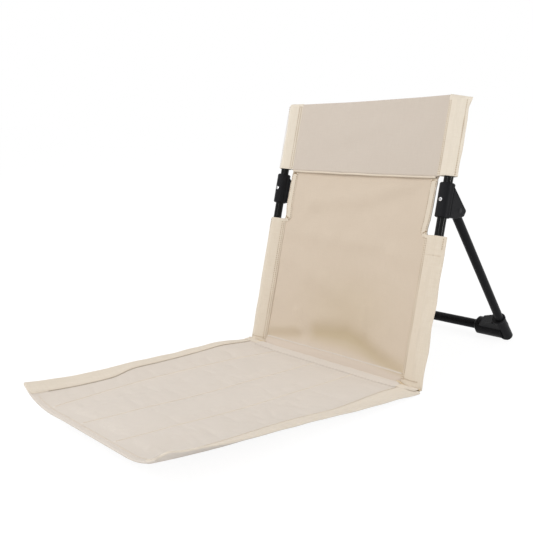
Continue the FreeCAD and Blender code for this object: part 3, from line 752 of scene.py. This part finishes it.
def fold_heights(x, up):
    """All the folds together, in metres towards the front."""
    return FOLD_DEPTH / 1000 * sum(height * beside(line, width, x, up) for height, width, line in FOLDS)


print("folds in the back:", len(FOLDS))

# %% [markdown]
# The panel's form says how wide it is at each height, and how far it hangs behind the
# uprights. Beside the brackets its edges are cut away in notches.

# %% The back panel's form
PANEL_LOW, PANEL_TOP = -0.0045, 0.362
PANEL_HALF, SAG_HALF = 0.180, 0.182
PANEL_SAG = 0.0135
TOE_SAG, TOP_SAG = 0.1, 0.45
TOE_START, TOE_FORWARD = 0.015, 0.007
NOTCH_HALF, NOTCH_CORNER, NOTCH_CORNER_UP = 0.1775, 0.003, 0.258


def notch_edge(up):
    """How far from the middle the panel's cut edge is, beside the bracket."""
    corner = np.exp(-((up - NOTCH_CORNER_UP) / 0.016) ** 2)
    return NOTCH_HALF - NOTCH_CORNER * corner


def panel_half(up):
    """Half the panel's width: full, and narrower between the notches' ends."""
    inside = ease(up, 0.249, 0.2525) * ease(up, 0.352, 0.349)
    return PANEL_HALF * (1 - inside) + notch_edge(up) * inside


def panel_behind(x, up):
    """How far behind the uprights the panel hangs: its sag, its toe and its folds."""
    share = np.clip((up - PANEL_LOW) / (PANEL_TOP - PANEL_LOW), 0, 1)
    sag = np.sin(math.pi * np.sqrt(share)) + TOE_SAG + (TOP_SAG - TOE_SAG) * share
    toe = np.clip(TOE_START - up, 0, None) / (TOE_START - PANEL_LOW) * ease(np.abs(x), 0.179, 0.168)
    lap = ease(up, 0.250, PANEL_TOP)
    behind = 0.0028 * lap - TOE_FORWARD * toe ** 2 + PANEL_SAG * sag * (1 - (x / SAG_HALF) ** 2)
    held = np.clip(1 - (np.abs(x) / 0.181) ** 6, 0, 1) * ease(up, -0.002, 0.02) * ease(up, 0.352, 0.325)
    return behind - fold_heights(x, up) * held + ripples(x, up, 5, 0.06) * 0.0004 * held


def panel_form(s, t):
    """Where a point of the panel's flat cut goes."""
    up = PANEL_LOW + (PANEL_TOP - PANEL_LOW) * t
    x = (s * 2 - 1) * panel_half(up)
    return on_back(x, panel_behind(x, up), up)


hang = panel_behind(0, np.linspace(PANEL_LOW, PANEL_TOP, 50))
print("the panel hangs up to %.1f mm behind the uprights" % (hang.max() * 1000))

# %% [markdown]
# Shade is painted into the cloth's deep lower folds and its slack middle, and its
# lowest edge, where it turns forward to the seat, is greyer and a little darker. Each
# point of the panel carries both as numbers for the finish.

# %% Lower back panel
# The hollows with painted shade: how dark, and points (x, up) along the line in millimetres
SHADED_HOLLOWS = [
    (0.75, [(-50, 40), (21, 47), (64, 39), (108, 23), (175, 9)]),
    (0.5, [(-165, 16), (-105, 26)]),
]


def fold_shade_share(x, up):
    """How much painted shade the cloth takes, from 0 to 1: along the lower hollows, and in the slack middle.
    """
    deep = sum(share * beside(line, 18, x, up) for share, line in SHADED_HOLLOWS)
    slack = 0.45 * np.exp(-((x - 0.02) / 0.10) ** 2 - ((up - 0.085) / 0.07) ** 2)
    return deep + slack


def apron_share(x, up):
    """How much greyer the lower edge is, from 0 to 1: it reaches highest in the middle."""
    top = 0.012 + 0.020 * np.clip(1 - ((x + 0.02) / 0.16) ** 2, 0, 1)
    return 0.9 * ease(up, top, 0.002)


PANEL_GRID = 100, 104
panel = cut_cloth("back_panel_cloth", *PANEL_GRID, 2 * PANEL_HALF, PANEL_TOP - PANEL_LOW, panel_form)
panel_across, panel_along = grid_shares(*PANEL_GRID)
panel_x = (panel_across * 2 - 1) * PANEL_HALF
panel_up = PANEL_LOW + (PANEL_TOP - PANEL_LOW) * panel_along
mark(panel, "hollow", fold_shade_share(panel_x, panel_up))
mark(panel, "apron", apron_share(panel_x, panel_up))
thicken(panel, PLY)
soften(panel)
finish_piece(panel, back_canvas, "back_frame")
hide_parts("back_panel")
print("back panel", len(panel.data.polygons), "faces")

# %% [markdown]
# The headrest is a second, double layer between the head sleeves. It closes at the
# bottom with a hem, which stands a little proud of the panel behind it. The sleeves
# hold it taut, so a slight sag and some ripples are enough.

# %% Headrest
HEAD_SAG = 0.005
HEAD_HALF, HEAD_THICK = 0.1805, 0.003


def head_behind(x, up):
    """How far behind the uprights the headrest hangs."""
    middle = 1 - (x / SAG_HALF) ** 2
    slack = ripples(x, up, 8, 0.12) * 0.0007 + ripples(x * 0.4, up, 9, 0.05) * 0.0004
    return HEAD_SAG * middle + slack * middle


def head_form(s, t):
    """Where a point of the headrest's flat cut goes."""
    up = HEAD[0] - 0.001 + (HEAD[1] - HEAD[0]) * t
    x = (s * 2 - 1) * HEAD_HALF
    return on_back(x, head_behind(x, up), up + top_tilt(x) * ease(t, 0.4, 1))


headrest = cut_cloth("headrest_cloth", 110, 44, 2 * HEAD_HALF, HEAD[1] - HEAD[0], head_form)
thicken(headrest, HEAD_THICK)
soften(headrest)
finish_piece(headrest, head_canvas, "back_frame")
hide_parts("headrest_panel")
print("headrest", len(headrest.data.polygons), "faces")

# %% [markdown]
# The hem is a narrow fold of cloth, boxy in section. It is a tube that is closed at
# both ends, as are the other tapes and rolls, so one helper finishes them all.

# %% Headrest hem
HEM_HALF = 0.1755
HEM_MIDDLE = 0.3505


def oval(width, thick, count=25, power=0.6):
    """A flattened ring, wide across its first coordinate; a low power makes it boxy."""
    turn = np.linspace(0, 2 * math.pi, 61)[:-1]

    def squarish(value):
        return np.sign(value) * np.abs(value) ** power

    ring = np.stack([squarish(np.cos(turn)) * width / 2, squarish(np.sin(turn)) * thick / 2], axis=1)
    return outline([tuple(p) for p in ring], count)


def sewn_shut(piece, material, body):
    """Close a tube's ends, soften it, and give it its material and body."""
    fill_ends(piece)
    soften(piece)
    finish_piece(piece, material, body)


def hem_place(a, b, t):
    """The hem hangs with the headrest's lower edge."""
    x = (t * 2 - 1) * HEM_HALF
    up = HEM_MIDDLE + a + ripples(x, 0 * x, 3, 0.06, 4) * 0.0001
    return on_back(x, head_behind(x, up) + b, up)


hem = sew_tube("headrest_hem_cloth", oval(0.0038, 0.0050), 110, 2 * HEM_HALF, hem_place)
sewn_shut(hem, sleeve_canvas, "back_frame")
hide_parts("headrest_hem")
print("hem sewn")

# %% [markdown]
# A tape is folded over each notch's cut edge, from the sleeve's top up to the hem, and
# keeps the cloth from fraying. It is a flat tube that follows the panel's own form, so
# that it stays on the cloth.

# %% Notch bindings
NOTCH = (0.2465, 0.3485)
TAPE_WIDTH, TAPE_THICK = 0.0155, 0.0034


def tape_middle(up):
    """The tape's middle line: on the cut edge, turning out to the sleeve at its lower end."""
    return notch_edge(up) - TAPE_WIDTH * 0.44 + 0.005 * ease(up, 0.256, NOTCH[0])


def sew_notch(side_name, side):
    """The tape on one notch's edge."""
    def place(a, b, t):
        up = NOTCH[0] + (NOTCH[1] - NOTCH[0]) * t
        x = tape_middle(up) + a
        waver = ripples(up, 0 * up, 40 + side, 0.02, 3) * 0.0003
        return on_back(side * x, panel_behind(side * x, up) + b + waver - 0.0006, up)

    ring = oval(TAPE_WIDTH, TAPE_THICK, 29, 0.5)
    piece = sew_tube("notch_tape_" + side_name, ring, 60, NOTCH[1] - NOTCH[0], place)
    sewn_shut(piece, sleeve_canvas, "back_frame")
    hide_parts("notch_binding_" + side_name)


for side_name, side in SIDES.items():
    sew_notch(side_name, side)
print("notch tapes sewn")

# %% [markdown]
# The seat is a thin padded mat: two layers of cloth with wadding between, sewn
# through along three lines into four channels. It lies flat near the fold, and its
# sides and front edge curl up. A bend modifier gives one curl, and this one changes
# along the way. So every point of the seat is given by its distance round the mat from
# the middle line, its distance from the fold, and its height, and a form bends them.

# %% The mat's form
MAT_LENGTH, MAT_GAP, FRONT_HEM = 0.500, 0.013, 0.011
MAT_END = MAT_LENGTH - FRONT_HEM
MAT_HALF, MAT_DRAW_IN = 0.1928, 0.015
MAT_RISE, FLAT_SHARE = 0.029, 0.25
LIFT_REAR, LIFT_FRONT, CURL_POWER = 0.003, 0.021, 0.8
CURL_FROM = 0.1
MAT_EDGE = 0.0045
SWING_LEFT, SWING_RIGHT, SETTLE = 0.007, 0.004, 0.0026
EAR = 0.007


def mat_row(distance):
    """Rise, curl radius and curl angle of the mat this far in front of the fold."""
    share = np.clip((distance - MAT_GAP) / (MAT_LENGTH - MAT_GAP), 0, 1)
    run = MAT_HALF - MAT_DRAW_IN * share - CURL_FROM
    rise = MAT_RISE * (np.clip(share - FLAT_SHARE, 0, None) / (1 - FLAT_SHARE)) ** 2
    lift = LIFT_REAR + (LIFT_FRONT - LIFT_REAR) * share ** CURL_POWER
    radius = (run ** 2 + lift ** 2) / (2 * lift)
    return rise, radius, 2 * np.arctan2(lift, run)


def side_swing(sideways, distance):
    """How much more the sides stand up halfway along; the right one lies low at the rear."""
    front = ease(distance, 0.44, 0.28)
    left = SWING_LEFT * ease(distance, 0.02, 0.112) * front
    right = SWING_RIGHT * ease(distance, 0.16, 0.26) * front - SETTLE * ease(distance, 0.07, 0.02)
    return np.where(sideways < 0, left, right) * np.clip((np.abs(sideways) - 0.06) / 0.13, 0, 1.2) ** 2


def rear_right(distance):
    """1 at the rear right, where the mat's edge lies on the ground, and 0 further forward."""
    return ease(distance, 0.20, 0.01)


def front_ear(sideways, distance):
    """How far the front left corner is pulled forward."""
    return EAR * ease(sideways, -0.08, -0.19) * ease(distance, 0.40, 0.49)


def on_mat(sideways, distance, height):
    """A point this far round the mat's underside from its middle line, and above it."""
    rise, radius, most = mat_row(distance)
    over = np.clip(np.abs(sideways) - CURL_FROM, 0, None)
    angle = np.minimum(over / radius, most)
    past = over - angle * radius
    x = np.minimum(np.abs(sideways), CURL_FROM) + (radius - height) * np.sin(angle) + past * np.cos(angle)
    z = rise + radius - (radius - height) * np.cos(angle) + past * np.sin(angle)
    y = FOLD_Y - distance - front_ear(sideways, distance)
    return np.stack([np.sign(sideways) * x, y, z + side_swing(sideways, distance)], axis=-1)


def mat_reach(distance):
    """Half the mat's width in the model, measured round its curl."""
    _, radius, most = mat_row(distance)
    return CURL_FROM + radius * most


both_ends = np.array([MAT_GAP, MAT_LENGTH])
print("mat reach at the rear and the front, mm:", (mat_reach(both_ends) * 1000).round(1))

# %% [markdown]
# The seams aren't quite parallel to the sides, because the cloth pulls askew when it
# is quilted. The side tapes cover the mat's edges. The left one is narrower towards
# the rear, and the right one lies broad over the edge.

# %% Seams and tape edges
# A seam's place across the mat at its rear, middle and front, in millimetres
SEAMS = [(-114, -149, -133), (-11, -29, -48), (84, 65, 46)]
LAP = 0.005


def along_seam(seam, distance):
    """How far across the mat a bowed seam is, this far in front of the fold."""
    share = np.clip((distance - MAT_GAP) / (MAT_END - MAT_GAP), 0, 1)
    rear, middle, front = seam
    bowed = (rear * (1 - share) * (1 - 2 * share) + middle * 4 * share * (1 - share)
             + front * share * (2 * share - 1))
    return bowed / 1000


def mat_edge(side, distance):
    """The cut edge of the mat on one side, under the tape."""
    return mat_reach(distance) + (side < 0) * 0.009 * ease(distance, 0.36, 0.30)


def tape_inner(side, distance):
    """Where the side tape's inner edge lies, round the mat from its middle line."""
    broad = (side > 0) * (0.004 + 0.022 * ease(distance, 0.15, 0.30))
    return mat_edge(side, distance) - LAP - broad


def channel(sideways, distance):
    """Channels counted from the left tape: a whole number is a seam or a tape's edge."""
    marks = [-tape_inner(-1, distance)] + [along_seam(s, distance) for s in SEAMS] + [tape_inner(1, distance)]
    return sum(np.clip((sideways - low) / (high - low), 0, 1) for low, high in zip(marks, marks[1:]))


print("channels in the mat:", len(SEAMS) + 1)

# %% [markdown]
# The mat's upper layer is grown a little and blown up by a cloth simulation with its
# seams pinned, so each channel swells and wrinkles by itself. Of the simulation only
# the lift is kept, and a second layer then closes the mat below.

# %% Sew and fill the mat
COLUMNS, ROWS = 116, 102
SWELL, ARCH = 0.0022, 0.006
SWELL_FRAMES = 20
UNDERSIDE = 0.0002


def mat_thickness(sideways, distance):
    """The sewn mat's thickness: its wadding arches it in the middle, and it is thin at the front."""
    low, high = -tape_inner(-1, distance), tape_inner(1, distance)
    aside = (sideways - (low + high) / 2) / ((high - low) / 2)
    arch = ease(distance, 0.02, 0.20) * ease(distance, MAT_END, 0.36) * np.clip(1 - aside ** 2, 0, 1)
    return MAT_EDGE * (1 - 0.24 * ease(distance, MAT_END - 0.03, MAT_END)) + ARCH * arch


def mat_spot(s, t):
    """A point of the mat's flat cut, as its distances from the middle line and the fold."""
    distance = MAT_GAP + (MAT_END - MAT_GAP) * t
    share = s * 2 - 1
    return share * np.where(share < 0, mat_edge(-1, distance), mat_edge(1, distance)), distance


def mat_top(s, t):
    """Where a point of the mat's upper layer goes before it swells."""
    sideways, distance = mat_spot(s, t)
    return on_mat(sideways, distance, mat_thickness(sideways, distance))


def swell_heights(piece, free):
    """How far a cloth simulation with pinned seams lifts each point of the mat's upper layer."""
    flat = points_of(piece)
    pins = piece.vertex_groups.new(name="pins")
    for i, share in enumerate(free):
        pins.add([i], float(1 - min(1, share * 3)), "REPLACE")
    cloth = piece.modifiers.new("swell", "CLOTH")
    settings = cloth.settings
    settings.vertex_group_mass = "pins"
    settings.mass = 0.25
    settings.tension_stiffness = settings.compression_stiffness = 12
    settings.bending_stiffness = 1.5
    settings.shrink_min = -0.004
    settings.use_pressure = True
    settings.uniform_pressure_force = 4
    settings.effector_weights.gravity = 0
    cloth.collision_settings.use_collision = False
    for number in range(1, SWELL_FRAMES + 1):
        bpy.context.scene.frame_set(number)
    apply_all(piece)
    bpy.context.scene.frame_set(1)
    normals = np.array([v.normal for v in piece.data.vertices])
    lifted = ((points_of(piece) - flat) * normals).sum(axis=1)
    set_points(piece, flat)
    return lifted


mat = cut_cloth("seat_mat_cloth", COLUMNS, ROWS, 2 * MAT_HALF, MAT_END - MAT_GAP, mat_top)
across_share, along_share = grid_shares(COLUMNS, ROWS)
sideways, distance = mat_spot(across_share, along_share)
channels = channel(sideways, distance)
ends = np.clip((np.minimum(along_share, 1 - along_share) - 0.035) * 20, 0, 1)
free = np.abs(np.sin(math.pi * channels)) ** 0.7 * ends
lifted = np.clip(swell_heights(mat, free), -0.0004, SWELL * 1.3)
print("channels swell by up to %.1f mm" % (lifted.max() * 1000))
mark(mat, "channel", channels)
thicken(mat, MAT_EDGE, -1.0)
top = on_mat(sideways, distance, mat_thickness(sideways, distance) + lifted)
set_points(mat, np.concatenate([top, on_mat(sideways, distance, UNDERSIDE)]))
edit(mat, (bpy.ops.mesh.normals_make_consistent, {"inside": False}))
soften(mat)
finish_piece(mat, seat_canvas, "seat")
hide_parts("seat_mat")
print("mat", len(mat.data.polygons), "faces")

# %% [markdown]
# A wide tape folds over each side of the mat. It is cream on top, and its downward
# faces take the mat's darker, greyer cloth as painted shade. At the front right the
# tape turns up a little and shows that underside, and at the rear right it spreads on
# the ground.

# %% Side tapes
BIND_WIDTH, BIND_THICK = 0.028, 0.0062
TURN_UP = math.radians(6)


def tape_outer(side, distance):
    """The tape's outer edge: it spreads a little at the rear right, and is cut short at the front right."""
    plain = mat_reach(distance) - LAP + BIND_WIDTH
    if side < 0:
        return plain
    short = 0.016 * ease(distance, MAT_LENGTH - 0.011, MAT_LENGTH)
    return plain + 0.009 * ease(distance, 0.24, 0.06) - short


def on_tape(side, distance, share, height):
    """A point of a side tape: share runs from its inner edge, 0, to its outer edge, 1."""
    inner, edge = tape_inner(side, distance), mat_edge(side, distance)
    reach = inner + share * (tape_outer(side, distance) - inner)
    over = np.clip(reach - edge, 0, None)
    _, _, slope = mat_row(distance)
    steep = TURN_UP * ease(distance, 0.30, 0.45) * ease(over, 0, 0.010) + 0.1 * ease(distance, 0.47, 0.495)
    steep = (side > 0) * (steep - slope * rear_right(distance))
    on_edge = on_mat(side * np.minimum(reach, edge), distance, np.where(over > 0, 0, height))
    x = over * np.cos(slope + steep) - np.where(over > 0, height, 0) * np.sin(slope + steep)
    z = over * np.sin(slope + steep) + np.where(over > 0, height, 0) * np.cos(slope + steep)
    return on_edge + np.stack([side * x, 0 * x, z], axis=-1)


def sew_binding(side_name, side):
    """The tape on one side of the mat."""
    ring = oval(BIND_WIDTH, BIND_THICK, 49, 0.3)

    def place(a, b, t):
        distance = MAT_GAP + (MAT_LENGTH - MAT_GAP) * t
        share = np.clip(a / BIND_WIDTH + 0.5, 0, 1)
        waver = ripples(distance, 0 * distance, 60 + side, 0.07, 4) * 0.0004
        thin = 1 - 0.3 * ease(share, 0.25, 0.5)
        return on_tape(side, distance, share, MAT_EDGE / 2 + 0.0002 + b * thin + waver * share)

    piece = sew_tube("seat_side_tape_" + side_name, ring, 110, MAT_LENGTH - MAT_GAP, place)
    sewn_shut(piece, tape_canvas, "seat")
    # Faces that point down take the mat's darker cloth, as painted shade.
    piece.data.materials.append(seat_canvas)
    for face in piece.data.polygons:
        face.material_index = 1 if face.normal.z < -0.3 else 0
    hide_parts("seat_binding_" + side_name)
    reach = np.linspace(MAT_GAP, MAT_LENGTH, 40)
    width = float(np.mean(tape_outer(side, reach) - tape_inner(side, reach))) + BIND_THICK / 2


for side_name, side in SIDES.items():
    sew_binding(side_name, side)
print("side tapes sewn")

# %% [markdown]
# The front edge is closed by a thin folded tape of the mat's own cloth. It is the same
# kind of flat tube as the side tapes, laid across, and lies flush with the mat.

# %% Front hem
HEM_THICK = 0.0034


def front_place(a, b, t):
    """The hem follows the mat's front edge from side to side."""
    distance = MAT_END + FRONT_HEM / 2 - 0.0025 + a
    share = t * 2 - 1
    sideways = share * np.where(share < 0, mat_edge(-1, distance), mat_edge(1, distance))
    flush = 0.0003 * ease(a, -0.008, -0.003) * (b > 0)
    return on_mat(sideways, distance, HEM_THICK / 2 + b + flush)


front_ring = oval(FRONT_HEM + 0.005, HEM_THICK, 31, 0.45)
front = sew_tube("seat_front_tape", front_ring, 120, 2 * MAT_HALF, front_place)
sewn_shut(front, seat_canvas, "seat")
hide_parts("seat_front_hem")
print("front hem sewn")

# %% [markdown]
# Back and seat meet at a sewn welt, a thin round roll of cloth. Just above it a flat
# seam runs across the back. Both are narrow tubes, because their edges catch the light.

# %% Welt and ridge
WELT_HALF, WELT_FORWARD, WELT_BELOW, WELT_RADIUS = 0.1755, 0.008, 0.005, 0.0018
RIDGE_HALF, RIDGE_UP = 0.172, 0.0105


def welt_place(a, b, t):
    """The welt lies in front of the back's lower edge and a little below it."""
    x = (t * 2 - 1) * WELT_HALF
    return on_back(x, -WELT_FORWARD + a, -WELT_BELOW + b + ripples(x, 0 * x, 71, 0.03, 3) * 0.0002)


welt_ring = oval(2 * WELT_RADIUS, 2 * WELT_RADIUS, 17, 1.0)
welt = sew_tube("fold_welt_cloth", welt_ring, 110, 2 * WELT_HALF, welt_place)
sewn_shut(welt, tape_canvas, "back_frame")
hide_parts("fold_welt")


def ridge_place(a, b, t):
    """A flat seam on the back's cloth, just above the welt."""
    x = (t * 2 - 1) * RIDGE_HALF
    return on_back(x, panel_behind(x, RIDGE_UP) - 0.0008 + a, RIDGE_UP + b)


ridge = sew_tube("fold_ridge_cloth", oval(0.0016, 0.0028, 13, 1.0), 90, 2 * RIDGE_HALF, ridge_place)
sewn_shut(ridge, seat_canvas, "back_frame")
print("welt and ridge sewn")

# %% [markdown]
# A strip of cloth joins the welt to the mat, and two short ones join the side tapes to
# the sleeves. A strip that moved with one body alone would tear off the other when the
# seat folds up.

# %% Strips across the fold
STRIP_START = 0.0735


def strip_height(x, y, share):
    """Over the mat or tape at its front edge, and over the welt at the rear."""
    lift = np.where(np.abs(x) < 0.176, 0.0026, 0.0004)
    return on_mat(x, FOLD_Y - y, MAT_EDGE + 0.0007)[..., 2] + (1 - share) ** 2 * lift


def sew_strip(name, low, high, end, material):
    """A strip from the welt forward to end, between low and high across the chair."""
    def form(s, t):
        x = low + (high - low) * s
        y = STRIP_START + (end - STRIP_START) * t
        return np.stack([x, y, strip_height(x, y, t)], axis=-1)

    piece = cut_cloth(name, max(12, int((high - low) * 320)), 14, high - low, STRIP_START - end, form)
    edit(piece, (bpy.ops.mesh.normals_make_consistent, {"inside": False}))
    thicken(piece, 0.0012)
    soften(piece)
    piece.data.materials.append(material)
    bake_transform(piece)


sew_strip("fold_strip_cloth", -0.1795, 0.1795, 0.056, seat_canvas)
sew_strip("fold_corner_left", -0.2135, -0.1765, 0.060, tape_canvas)
sew_strip("fold_corner_right", 0.1765, 0.2175, 0.060, tape_canvas)
print("strips sewn")

# %% [markdown]
# Each lower sleeve ends in a roll of its own cloth, sewn across. It hides the cloth's
# cut end, and the right one droops. It is a short tube along the front of the sleeve.

# %% Rolled ends
ROLL_INNER, ROLL_LENGTH, ROLL_THICK = -0.0315, 0.0500, 0.0044


def sew_roll(side_name, side):
    """The rolled lower end of a sleeve."""
    def place(a, b, t):
        out = ROLL_INNER + ROLL_LENGTH * t
        droop = 0.0012 * np.sin(math.pi * t) + 0.0040 * (side > 0) * ease(t, 0.1, 0.45)
        forward = np.clip(sleeve_front(out) * 0.75, 0.0055, 0.0064)
        return on_back(side * (HALF_SPAN + out), -forward + a, -0.0032 - droop + b)

    ring = oval(ROLL_THICK, ROLL_THICK, 17, 1.0)
    roll = sew_tube("sleeve_end_roll_" + side_name, ring, 34, ROLL_LENGTH, place)
    sewn_shut(roll, roll_canvas, "back_frame")


for side_name, side in SIDES.items():
    sew_roll(side_name, side)
print("rolled ends sewn")

# %% [markdown]
# Seams show as rows of stitches. One stitch is modelled, a small drop of thread. An
# array repeats it to the length of a seam, and a curve modifier lays the row on the
# seam's line. A dashed texture would pass from afar, but thread that stands out catches
# the light and is there in the meshes.

# %% A row of stitches
STITCH, PITCH = 0.0027, 0.0039
THREAD_RADIUS = 0.00055
stitched = []


def stitch_row(name, line, material, body, pitch=PITCH):
    """A row of stitches along points of a line."""
    line = np.asarray(line, float)
    length = float(np.linalg.norm(np.diff(line, axis=0), axis=1).sum())
    path = bpy.data.curves.new(name + "_path", "CURVE")
    path.dimensions = "3D"
    spline = path.splines.new("POLY")
    spline.points.add(len(line) - 1)
    spline.points.foreach_set("co", np.concatenate([line, np.ones((len(line), 1))], axis=1).ravel())
    guide = bpy.data.objects.new(name + "_path", path)
    bpy.context.scene.collection.objects.link(guide)
    bpy.ops.object.select_all(action="DESELECT")
    bpy.ops.mesh.primitive_uv_sphere_add(segments=8, ring_count=6, radius=THREAD_RADIUS)
    row = bpy.context.object
    row.name = row.data.name = name
    points = points_of(row)
    set_points(row, points * (STITCH / 2 / THREAD_RADIUS, 1, 1) + (pitch / 2, 0, 0))
    repeat = row.modifiers.new("repeat", "ARRAY")
    repeat.use_relative_offset = False
    repeat.use_constant_offset = True
    repeat.constant_offset_displace = (pitch, 0, 0)
    repeat.count = max(1, int(length / pitch))
    stitched.append(repeat.count)
    bend = row.modifiers.new("bend", "CURVE")
    bend.object = guide
    apply_all(row)
    bpy.data.objects.remove(guide)
    bpy.ops.object.shade_smooth()
    finish_piece(row, material, body)


print("a stitch is %.1f mm long, and the next one starts after %.1f mm" % (STITCH * 1000, PITCH * 1000))

# %% [markdown]
# The sleeves have two rows along the sewn edge, one along the piped edge and two across.
# The notch tapes and the mat's side tapes are sewn along their edges.

# %% Seams at the sides
SEAM_INSETS = (0.0028, 0.0068)
NOTCH_INSETS = (-0.0056, 0.0050)
LOWER_ROW, HEAD_ROW = np.linspace(0.001, 0.2505, 40), np.linspace(0.3545, 0.486, 40)
LOWER_EDGE_ROW, HEAD_EDGE_ROW = np.linspace(0.229, 0.2505, 40), np.linspace(0.3545, 0.484, 40)
CROSS_ROW, END_ROW = np.linspace(-0.0235, 0.0145, 24), np.linspace(-0.0225, 0.0135, 24)
CROSS_UP, END_UP = 0.2185, 0.0045


def on_sleeve(side, a, up, section=LOWER_SECTION, proud=0.0003):
    """Points on a sleeve's face, a little proud of it."""
    return on_back(side * (HALF_SPAN + a), -sleeve_front(a, section) - proud, up)


def sleeve_row(name, line, material=brown_thread):
    """A row of stitches on a sleeve."""
    stitch_row(name, line, material, "back_frame")


for side_name, side in SIDES.items():
    for number, inset in enumerate(SEAM_INSETS):
        label = "%s_%d" % (side_name, number)
        sleeve_row("lower_sleeve_stitches_" + label, on_sleeve(side, WIDE_SEWN_EDGE + inset, LOWER_ROW))
        sleeve_row("head_sleeve_stitches_" + label,
                   on_sleeve(side, SEWN_EDGE + inset, HEAD_ROW, HEAD_SECTION))
    sleeve_row("head_edge_stitches_" + side_name, on_sleeve(side, 0.0135, HEAD_EDGE_ROW, HEAD_SECTION))
    sleeve_row("lower_edge_stitches_" + side_name, on_sleeve(side, 0.0128, LOWER_EDGE_ROW))
    sleeve_row("sleeve_cross_stitches_" + side_name, on_sleeve(side, CROSS_ROW, CROSS_UP, proud=0.0002),
               cream_thread)
    for number, inset in enumerate(NOTCH_INSETS):
        up = np.linspace(NOTCH[0] + 0.003, NOTCH[1] - 0.002, 40)
        x = side * (tape_middle(up) + inset)
        stitch_row("notch_stitches_%s_%d" % (side_name, number),
                   on_back(x, panel_behind(x, up) - TAPE_THICK / 2 - 0.0007, up),
                   brown_thread, "back_frame")
    reach = np.linspace(MAT_GAP + 0.006, MAT_LENGTH - 0.028, 60)
    # On the left the row is dark, as the painted shadow that the tape's inner edge casts.
    stitch_row("side_tape_stitches_" + side_name,
               on_mat(side * (tape_inner(side, reach) - 0.0003), reach, MAT_EDGE + 0.0006),
               shadow_thread if side < 0 else cream_thread, "seat")
    sleeve_row("sleeve_end_stitches_" + side_name, on_sleeve(side, END_ROW, END_UP, proud=0.0002))
print("rows of stitches so far:", len(stitched))

# %% [markdown]
# The mat's three seams, the seam above the fold and the front hem have cream stitches.

# %% Seams across and along
FOLD_SEAM_UP = 0.0125
for number, seam in enumerate(SEAMS):
    reach = np.linspace(MAT_GAP + 0.012, MAT_END - 0.004, 60)
    line = along_seam(seam, reach)
    stitch_row("channel_stitches_%d" % number, on_mat(line, reach, mat_thickness(line, reach) + 0.0003),
               cream_thread, "seat")
along_fold = np.linspace(-0.170, 0.170, 80)
stitch_row("fold_stitches",
           on_back(along_fold, panel_behind(along_fold, FOLD_SEAM_UP) - PLY / 2, FOLD_SEAM_UP),
           cream_thread, "back_frame")
stitch_row("front_hem_stitches", on_mat(along_fold, MAT_END + 0.0 * along_fold, HEM_THICK + 0.0004),
           cream_thread, "seat")
print("stitches:", sum(stitched))

# %% [markdown]
# Bartacks are short, dense bars of zigzag thread that keep a seam's end from tearing.
# They are made of the same stitches, set close along a zigzag line.

# %% Bartacks
TURNS, TACK_HALF, TACK_STEP, TACK_PITCH = 13, 0.0045, 0.0011, 0.0021
LOW_TACK, HIGH_TACK = 0.2555, 0.346


def bartack(name, centre, along, out):
    """A bar of thread: a dozen turns side by side."""
    along, out = np.array(along, float), np.array(out, float)
    turns = np.linspace(-1, 1, TURNS)[:, None]
    side_step = np.where(np.arange(TURNS) % 2, 1, -1)[:, None] * np.cross(along, out) * TACK_STEP
    line = np.array(centre) + along * turns * TACK_HALF + side_step + out * 0.0004
    stitch_row(name, line, brown_thread, "back_frame", TACK_PITCH)


UP_BACK = on_back(0, 0, 1) - on_back(0, 0, 0)
FRONT_BACK = on_back(0, -1, 0) - on_back(0, 0, 0)
for side_name, side in SIDES.items():
    x = side * (tape_middle(LOW_TACK) + 0.003)
    bartack("bartack_low_" + side_name, on_back(x, panel_behind(x, LOW_TACK) - TAPE_THICK / 2, LOW_TACK),
            UP_BACK * 0.5 + np.array([side * 0.86, 0, 0]), FRONT_BACK)
    x = side * tape_middle(HIGH_TACK)
    bartack("bartack_high_" + side_name, on_back(x, panel_behind(x, HIGH_TACK) - TAPE_THICK / 2, HIGH_TACK),
            np.array([1.0, 0, 0]), FRONT_BACK)
print("bartacks sewn")
